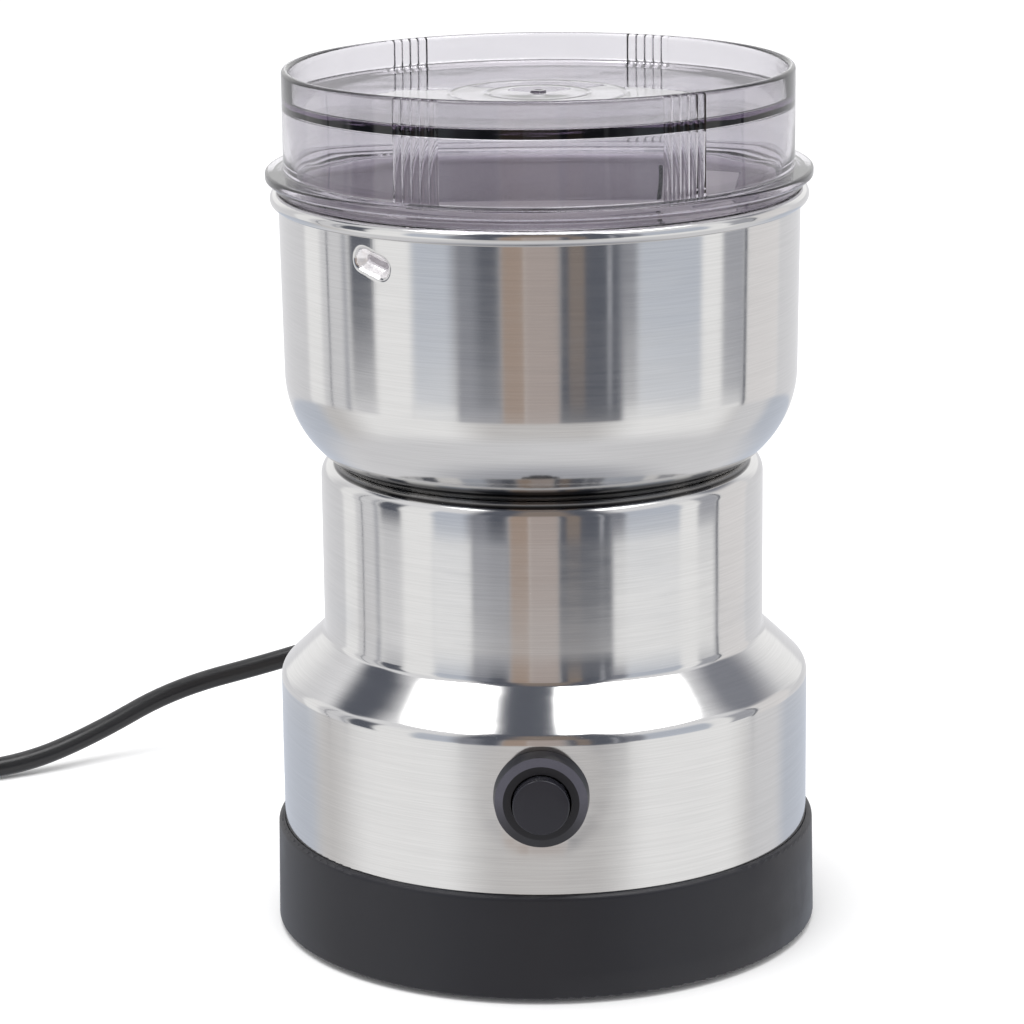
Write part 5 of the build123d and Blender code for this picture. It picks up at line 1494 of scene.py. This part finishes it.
@dataclass
class SteelBody:
    """The drawn sheet body: neck, shoulder and wide lower wall.

    Attributes:
        sheet: Thickness of the sheet, in mm.
        neck_lip: Inner radius of the neck's turned-in lip.
        neck_radius: Outer radius of the neck.
        neck_top: Height of the lip.
        neck_bottom: Height where the neck meets the shoulder.
        body_radius: Outer radius of the lower wall.
        shoulder: Height where the shoulder meets the lower wall.
        body_bottom: Height of the lower edge.
        switch_height: Height of the switch's axis.
        switch_hole: Radius of its hole.
        fine_band: How far the wall is finely divided above and below that axis.
        dish: How far the sheet is sunk round the hole.
        dish_edge: How far past the hole's edge it is sunk in full.
        dish_reach: How far round that it still sinks.
        boot_height: Height of the lead's hole.
        boot_hole: Radius of that hole.
        drill: Length of the bars that cut both holes.
    """

    sheet: float = 0.8
    neck_lip: float = 39.51
    neck_radius: float = 42.75
    neck_top: float = 93.4
    neck_bottom: float = 59.5
    body_radius: float = 51.4
    shoulder: float = 51.2
    body_bottom: float = 10.0
    switch_height: float = 40.3
    switch_hole: float = 8.0
    fine_band: tuple[float, float] = (9.5, 14.0)
    dish: float = 0.09
    dish_edge: float = 0.4
    dish_reach: float = 5.0
    boot_height: float = 38.7
    boot_hole: float = 4.6
    drill: float = 20.0

    def build(self) -> None:
        """Turn the body, give it its thickness and cut its two holes."""
        above, below = self.fine_band
        pen = ProfilePen("steel_body", self.neck_lip, self.neck_top)
        pen.trace(
            (
                Corner(self.neck_radius, self.neck_top, 3.19),
                Corner(self.neck_radius, self.neck_bottom, 2.0, parts=6),
                Corner(self.body_radius, self.shoulder, 2.8, parts=4),
                Corner(self.body_radius, self.switch_height + above),
                Corner(self.body_radius, self.switch_height - below, parts=22),
                Corner(self.body_radius, self.body_bottom, parts=4),
            )
        )
        piece = pen.turn(steps=420)
        apply_modifier(piece, "SOLIDIFY", thickness=self.sheet * MM, offset=-1.0,
                       use_even_offset=True)
        self.dish_hole(piece)
        cut_away(piece, rod("switch_hole", self.switch_hole, self.drill,
                            (0.0, -self.body_radius, self.switch_height), tilt=90.0))
        cut_away(piece, rod("boot_hole", self.boot_hole, self.drill,
                            (0.0, self.body_radius, self.boot_height), tilt=90.0))
        smooth(piece)
        seat(piece, "housing", "sheet_steel", STEEL, "body_shell")

    def dish_hole(self, piece: Piece) -> None:
        """Sink the sheet a little where the nut draws the bezel against it.

        Args:
            piece: The body, before its holes are cut.
        """
        edge = (self.switch_hole + self.dish_edge) * MM

        def by_switch(place: Vector) -> bool:
            """Say whether a place in metres lies under the bezel."""
            return place.y < 0.0 and math.hypot(place.x, place.z - self.switch_height * MM) < edge

        with editing(piece):
            pick(piece, by_switch)
            push((0.0, self.dish * MM, 0.0), self.dish_reach * MM)


@dataclass
class GrindingBowl:
    """The spun steel bowl with its rolled rim and two pressed lugs.

    Attributes:
        sheet: Thickness of the sheet, in mm.
        bottom: Height of its underside.
        low_radius: Outer radius that the wall would have at the underside.
        rim_radius: Outer radius of the wall at the rim.
        rim_height: Height of the rolled rim's middle.
        corner: Outer radius of the round from floor to wall.
        bead_centre: Radius at which the rolled rim's middle lies.
        bead_sweep: How far the rim is rolled, in degrees.
        rim_step: How far under the rim's and the lugs' heights their runs of the wall end.
        hole: Radius of the hole for the drive.
        lug_height: Height of the lugs' middles.
        lug_half: Half the length of a lug.
        lug_depth: How far it is pressed in.
        lug_edge: How far round it the wall is finely divided.
        lug_core: Half length, half height and reach of its flat middle.
        lug_reach: How far round the flat middle the wall follows it.
        lug_angles: Where the lugs are, in degrees from +X.
        slot: Depth, length and height of a lug's slot.
        slot_edge: Width of the slot's rounded edges.
        slot_tilt: How far the slot slopes, in degrees.
        edge_angle: Edges above this angle in degrees stay sharp.
    """

    sheet: float = 0.8
    bottom: float = 90.5
    low_radius: float = 49.0
    rim_radius: float = 49.7
    rim_height: float = 144.3
    corner: float = 20.3
    bead_centre: float = 49.8
    bead_sweep: float = 326.8
    rim_step: float = 1.5
    hole: float = 6.0
    lug_height: float = 138.0
    lug_half: float = 4.6
    lug_depth: float = 2.1
    lug_edge: float = 1.2
    lug_core: tuple[float, float, float] = (2.2, 0.3, 3.0)
    lug_reach: float = 2.4
    lug_angles: tuple[float, float] = (-127.3, 52.7)
    slot: tuple[float, float, float] = (6.0, 5.2, 1.5)
    slot_edge: float = 0.6
    slot_tilt: float = 16.0
    edge_angle: float = 38.0

    def wall(self, height: float) -> float:
        """Outer radius of the wall at a height, in mm."""
        share = (height - self.bottom) / (self.rim_height - self.bottom)
        return self.low_radius + (self.rim_radius - self.low_radius) * share

    def turn_bowl(self) -> Piece:
        """Turn the closed outline of wall, rolled rim and floor.

        Returns:
            The bowl, before its lugs are pressed.
        """
        sheet = self.sheet
        lug_foot = self.lug_height - self.lug_half - self.rim_step
        rim_foot = self.rim_height - self.rim_step
        bead = Vector((self.bead_centre, self.rim_height))
        pen = ProfilePen("steel_bowl", self.hole, self.bottom)
        pen.trace(
            (
                Corner(self.low_radius, self.bottom, self.corner, parts=3),
                Corner(self.wall(lug_foot), lug_foot, parts=6),
                Corner(self.wall(rim_foot), rim_foot, parts=22),
            )
        )
        pen.arc(bead, math.radians(self.bead_sweep))
        pen.trace(
            (
                Corner(self.wall(lug_foot) - sheet, lug_foot, parts=22),
                Corner(self.wall(self.bottom + sheet) - sheet, self.bottom + sheet,
                       self.corner - sheet, parts=6),
                Corner(self.hole, self.bottom + sheet, parts=3),
                Corner(self.hole, self.bottom),
            )
        )
        return pen.turn(steps=480)

    def press_lug(self, piece: Piece, angle: float) -> None:
        """Press one oval lug into the wall and cut its slot.

        Args:
            piece: The bowl.
            angle: Where the lug is, in degrees from +X.
        """
        direction = Vector(around(1.0, angle, 0.0))
        along = Vector((-direction.y, direction.x, 0.0))
        tilt = math.radians(self.slot_tilt)
        middle = direction * self.wall(self.lug_height) * MM
        middle.z = self.lug_height * MM
        margin = (self.lug_half + self.lug_edge) * MM
        long, high, reach = (size * MM for size in self.lug_core)

        def on_core(place: Vector) -> bool:
            """Say whether a place in metres lies on the lug's flat middle.

            Args:
                place: A vertex of the bowl.

            Returns:
                Whether it is pressed in to the full depth.
            """
            away = place - middle
            length = away.dot(along) * math.cos(tilt) - away.z * math.sin(tilt)
            height = away.dot(along) * math.sin(tilt) + away.z * math.cos(tilt)
            return abs(length) < long and abs(height) < high and away.length < reach

        with editing(piece):
            pick(piece, lambda place: (place - middle).length < margin, faces=True)
            bpy.ops.mesh.subdivide(number_cuts=2)
            pick(piece, on_core)
            push(-direction * self.lug_depth * MM, self.lug_reach * MM)
        inward = direction * (self.wall(self.lug_height) - self.lug_depth) * MM
        inward.z = self.lug_height * MM
        slot = block("lug_slot", self.slot, (0.0, 0.0, 0.0))
        apply_modifier(slot, "BEVEL", width=self.slot_edge * MM, segments=4, limit_method="NONE")
        slot.matrix_world = (
            Matrix.Translation(inward)
            @ Matrix.Rotation(math.radians(angle), 4, "Z")
            @ Matrix.Rotation(-tilt, 4, "X")
        )
        settle(slot)
        cut_away(piece, slot)

    def build(self) -> None:
        """Turn the bowl and press its lugs."""
        piece = self.turn_bowl()
        for angle in self.lug_angles:
            self.press_lug(piece, angle)
        smooth(piece, self.edge_angle)
        seat(piece, "housing", "sheet_steel", BOWL_STEEL, "bowl")
        self.dull_inside(piece)

    def dull_inside(self, piece: Piece) -> None:
        """Give the faces inside the bowl the rougher, less metallic finish that ground coffee
        leaves, with painted shade that darkens them deeper in the bowl.

        Args:
            piece: The bowl, already in its outer finish.
        """
        floor = (self.bottom + self.sheet / 2) * MM

        def inside(place: Vector) -> bool:
            """Say whether a place in metres is on the inner side of the sheet.

            Args:
                place: The middle of a face.

            Returns:
                Whether it is.
            """
            reach = math.hypot(place.x, place.y) / MM
            rise = self.corner - (place.z / MM - self.bottom)
            limit = self.wall(place.z / MM) - self.sheet / 2
            if rise > 0.0:
                across = max(self.corner - self.sheet / 2, rise)
                limit -= self.corner - self.sheet / 2 - math.sqrt(max(across ** 2 - rise ** 2, 0.0))
                limit = max(limit, 0.0)
            return place.z > floor and reach < limit

        refinish(piece, BOWL_INSIDE, inside)


# Lid


@dataclass
class ClearLid:
    """The clear lid: fluted wall, sunk top, flange and bayonet skirt.

    Attributes:
        radius: Outer radius of the wall, in mm.
        inner: Inner radius of the wall.
        top: Height of the wall's upper edge.
        disc_bottom: Height of the sunk disc's underside.
        disc_top: Height of its upper side.
        rings: Outer edge, crest and inner edge of each raised ring on the disc.
        ring_height: How far the rings stand up.
        gate: Radius and rise of the corners of the mark in the disc's middle.
        flange_radius: Outer radius of the flange that lies on the bowl's rim.
        flange_bottom: Height of its underside.
        flange_top: Height of its upper side.
        lip_radius: Outer radius of the lip under the flange.
        lip_bottom: Height of the lip's underside.
        skirt_inner: Inner radius of the skirt.
        skirt_outer: Outer radius of the skirt.
        skirt_bottom: Height of its lower edge.
        flute_groups: Where the groups of flutes are, in degrees from the front.
        flutes: How many flutes a group has.
        flute_pitch: Degrees from flute to flute.
        flute_radius: Radius of a flute.
        flute_circle: Radius at which the flutes' middles lie.
        flute_play: How far the cutters stand above the wall.
        slot_angles: Where the bayonet's mouths are, in degrees from +X.
        slot_half: Half of a mouth's width, in degrees.
        slot_leg: How far the slot runs on sideways, in degrees.
        slot_top: Height of the slot's upper edge.
        leg_bottom: Height of the sideways slot's lower edge.
        slot_reach: Depth of the blocks that cut the mouth and the sideways slot.
        mouth_play: How far the mouth's block stands out under the skirt.
    """

    radius: float = 48.6
    inner: float = 47.1
    top: float = 168.7
    disc_bottom: float = 161.7
    disc_top: float = 163.4
    rings: tuple[tuple[float, float, float], ...] = ((17.4, 16.8, 16.2), (10.4, 9.8, 9.2))
    ring_height: float = 0.06
    gate: tuple[tuple[float, float], ...] = ((1.5, 0.0), (1.5, 0.5), (0.5, 0.3), (0.0, 0.3))
    flange_radius: float = 52.1
    flange_bottom: float = 147.7
    flange_top: float = 149.6
    lip_radius: float = 50.2
    lip_bottom: float = 146.1
    skirt_inner: float = 46.0
    skirt_outer: float = 47.9
    skirt_bottom: float = 130.5
    flute_groups: tuple[float, ...] = (-26.4, 33.6, 153.6, 213.6)
    flutes: int = 5
    flute_pitch: float = 2.2
    flute_radius: float = 1.15
    flute_circle: float = 49.25
    flute_play: float = 0.4
    slot_angles: tuple[float, float] = (-127.3, 52.7)
    slot_half: float = 5.98
    slot_leg: float = 16.0
    slot_top: float = 143.0
    leg_bottom: float = 133.1
    slot_reach: tuple[float, float] = (6.0, 7.0)
    mouth_play: float = 2.0

    def disc_corners(self) -> list[Corner]:
        """Give the corners of the disc's rings and of the mark in its middle.

        Returns:
            The corners in order, from the outer ring to the axis.
        """
        top = self.disc_top
        crest = top + self.ring_height
        corners = []
        for outer, middle, inner in self.rings:
            parts = 1 if corners else 3
            corners += [Corner(outer, top, 0.6, parts), Corner(middle, crest, 0.6),
                        Corner(inner, top, 0.6)]
        corners += [Corner(radius, top + rise, 0.2) for radius, rise in self.gate]
        return corners

    def turn_lid(self) -> Piece:
        """Turn the closed outline of the lid.

        Returns:
            The lid, before its flutes and slots are cut.
        """
        pen = ProfilePen("clear_lid", 0.0, self.disc_bottom)
        pen.trace(
            (
                Corner(self.inner, self.disc_bottom, 0.5, parts=6),
                Corner(self.inner, self.flange_bottom, 0.4, parts=3),
                Corner(self.skirt_inner, self.lip_bottom + 0.5, 0.4),
                Corner(self.skirt_inner, self.skirt_bottom, 0.3, parts=4),
                Corner(self.skirt_outer, self.skirt_bottom, 0.3),
                Corner(self.skirt_outer, self.lip_bottom, 0.2, parts=4),
                Corner(self.lip_radius, self.lip_bottom, 0.3),
                Corner(self.lip_radius, self.flange_bottom, 0.2),
                Corner(self.flange_radius, self.flange_bottom, 0.6),
                Corner(self.flange_radius, self.flange_top, 0.6),
                Corner(self.radius, self.flange_top, 0.4),
                Corner(self.radius, self.top, 0.8, parts=4),
                Corner(self.inner, self.top, 0.8),
                Corner(self.inner, self.disc_top, 0.5),
                *self.disc_corners(),
            )
        )
        return pen.turn(steps=384)

    def cut_flutes(self, piece: Piece) -> None:
        """Cut the groups of upright flutes into the outer wall.

        Neighbours would run into each other, so every second flute is cut at a time.

        Args:
            piece: The turned lid.
        """
        height = (self.flange_top + self.top) / 2 + self.flute_play / 2
        length = self.top - self.flange_top + self.flute_play
        for start in (0, 1):
            cutters = []
            for group in self.flute_groups:
                for index in range(start, self.flutes, 2):
                    turn = group - 90.0 + (index - (self.flutes - 1) / 2) * self.flute_pitch
                    place = around(self.flute_circle, turn, height)
                    cutters.append(rod("flute", self.flute_radius, length, place, sides=20))
            clear_selection()
            for cutter in cutters:
                cutter.select_set(True)
            bpy.context.view_layer.objects.active = cutters[0]
            bpy.ops.object.join()
            cut_away(piece, bpy.context.active_object)

    def cut_bayonet(self, piece: Piece) -> None:
        """Cut the two bayonet slots into the skirt.

        Args:
            piece: The turned lid.
        """
        middle = (self.skirt_inner + self.skirt_outer) / 2
        under = self.skirt_bottom - self.mouth_play
        for angle in self.slot_angles:
            for name, depth, half, low, turn in (
                ("slot_mouth", self.slot_reach[0], self.slot_half, under, angle),
                ("slot_leg", self.slot_reach[1], self.slot_half + self.slot_leg / 2,
                 self.leg_bottom, angle - self.slot_leg / 2),
            ):
                width = 2 * middle * math.sin(math.radians(half))
                place = around(middle, turn, (self.slot_top + low) / 2)
                size = (depth, width, self.slot_top - low)
                cut_away(piece, block(name, size, place, turn=turn))

    def build(self) -> None:
        """Turn the lid and cut its flutes and slots."""
        piece = self.turn_lid()
        self.cut_flutes(piece)
        self.cut_bayonet(piece)
        smooth(piece)
        seat(piece, "lid", "lid_plastic", CLEAR, "lid")


# Base, button, blade and inner works


@dataclass
class MouldedBase:
    """The black base cup with its feet and screws.

    Attributes:
        edge_angle: Edges above this angle in degrees stay sharp.
    """

    edge_angle: float = 30.0

    def build(self) -> None:
        """Give the base cup, the feet and the screws smooth skins."""
        for node, name, slot, finish in (
            ("base_cup", "base_moulding", "base_plastic", BASE),
            ("rubber_feet", "feet", "foot_rubber", RUBBER),
            ("base_screws", "floor_screws", "screw_steel", SCREW),
        ):
            seat(smooth_copy(node, name, self.edge_angle), "housing", slot, finish, node)


@dataclass
class PushButton:
    """The round push button and the bezel that it sits in.

    Attributes:
        edge_angle: Edges of the bezel above this angle in degrees stay sharp.
        rim: Outer radius of the bezel's rim, in mm.
        chamfer: Inner radius of its chamfer.
        chamfer_depth: The chamfer lies within this depth under the bezel's face.
        height: Height of the button's axis.
        travel: How far the cap goes in; not used.
    """

    edge_angle: float = 12.0
    rim: float = 8.6
    chamfer: float = 7.05
    chamfer_depth: float = 0.62
    height: float = 40.3
    travel: float = 2.5

    def fit_spring(self) -> None:
        """Give the return spring a smooth skin and a mesh of its own."""
        spring = smooth_copy("button_spring", "return_spring")
        seat(spring, "housing", "screw_steel", SCREW, "button_spring")
        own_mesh(spring)

    def light_chamfer(self, bezel: Piece) -> None:
        """Give the bezel's chamfer its lighter, grainy finish, with painted light on the faces that
        don't face down.

        Args:
            bezel: The bezel, already in its first finish.
        """
        front = min(vertex.co.y for vertex in bezel.data.vertices)

        def on_chamfer(place: Vector) -> bool:
            """Say whether a face's middle in metres lies on the chamfer."""
            reach = math.hypot(place.x, place.z - self.height * MM) / MM
            return self.chamfer < reach < self.rim and place.y < front + self.chamfer_depth * MM

        refinish(bezel, CHAMFER, on_chamfer)

    def build(self) -> None:
        """Give the bezel and the cap smooth skins, and fit the return spring."""
        bezel = smooth_copy("switch_bezel", "button_bezel", self.edge_angle)
        seat(bezel, "housing", "bezel_plastic", BEZEL, "switch_bezel")
        self.light_chamfer(bezel)
        cap = smooth_copy("button_cap", "push_cap")
        seat(cap, "button", "button_plastic", BUTTON, "button_cap")
        self.fit_spring()


@dataclass
class BladeSet:
    """The bent cross blade, its hub and its nut inside the bowl.

    Attributes:
        edge_angle: Edges above this angle in degrees stay sharp.
    """

    edge_angle: float = 30.0

    def build(self) -> None:
        """Give the blade, the nut, the hub, the seal and the screws smooth skins."""
        for node, name, body, slot, finish in (
            ("grinding_blade", "cross_blade", "rotor", "blade_steel", BLADE),
            ("blade_nut", "cap_nut", "rotor", "blade_steel", BLADE),
            ("blade_hub", "drive_hub", "rotor", "hub_plastic", HUB),
            ("shaft_seal", "bowl_seal", "housing", "white_nylon", NYLON),
            ("bowl_screws", "floor_rivets", "housing", "screw_steel", SCREW),
        ):
            seat(smooth_copy(node, name, self.edge_angle), body, slot, finish, node)


@dataclass
class InnerWorks:
    """The motor, the switch and the wiring that the housing covers.

    Attributes:
        finishes: The finish of each CAD node that shows itself.
    """

    finishes: dict[str, Finish] = field(
        default_factory=lambda: {
            "bowl_gasket": RUBBER,
            "motor_top_bracket": BRACKET,
            "upper_bearing": SHAFT,
            "motor_bottom_bracket": BRACKET,
            "lower_bush": BUSH,
            "motor_screws": SCREW,
            "stator_core": IRON,
            "field_windings": COPPER,
            "brush_holders": BRASS,
            "carbon_brushes": CARBON,
            "brush_springs": SCREW,
            "suppression_capacitor": CAPACITOR,
            "thermal_fuse": NYLON,
            "switch_nut": BEZEL,
            "switch_housing": BEZEL,
            "switch_terminals": BRASS,
            "internal_wiring": SHEATH,
            "rotor_shaft": SHAFT,
            "thrust_washers": NYLON,
            "armature_core": IRON,
            "armature_windings": COPPER,
            "commutator": BARS,
            "cooling_fan": NYLON,
            "shaft_circlip": SCREW,
            "contact_bridge": BRASS,
        }
    )

    def build(self) -> None:
        """Finish each inner node where it stands."""
        for node, finish in self.finishes.items():
            PAINT.dress_node(node, finish)


def main() -> None:
    """Build the studio and every sub-assembly in order."""
    logging.basicConfig(level=logging.INFO, format="%(name)s %(message)s")
    bpy.context.scene.view_settings.view_transform = "Standard"
    for part in (Studio(), MainsLead(), SteelBody(), GrindingBowl(), ClearLid(), MouldedBase(),
                 PushButton(), BladeSet(), InnerWorks()):
        part.build()
        LOG.info("%s built", type(part).__name__)


if __name__ == "__main__":
    main()
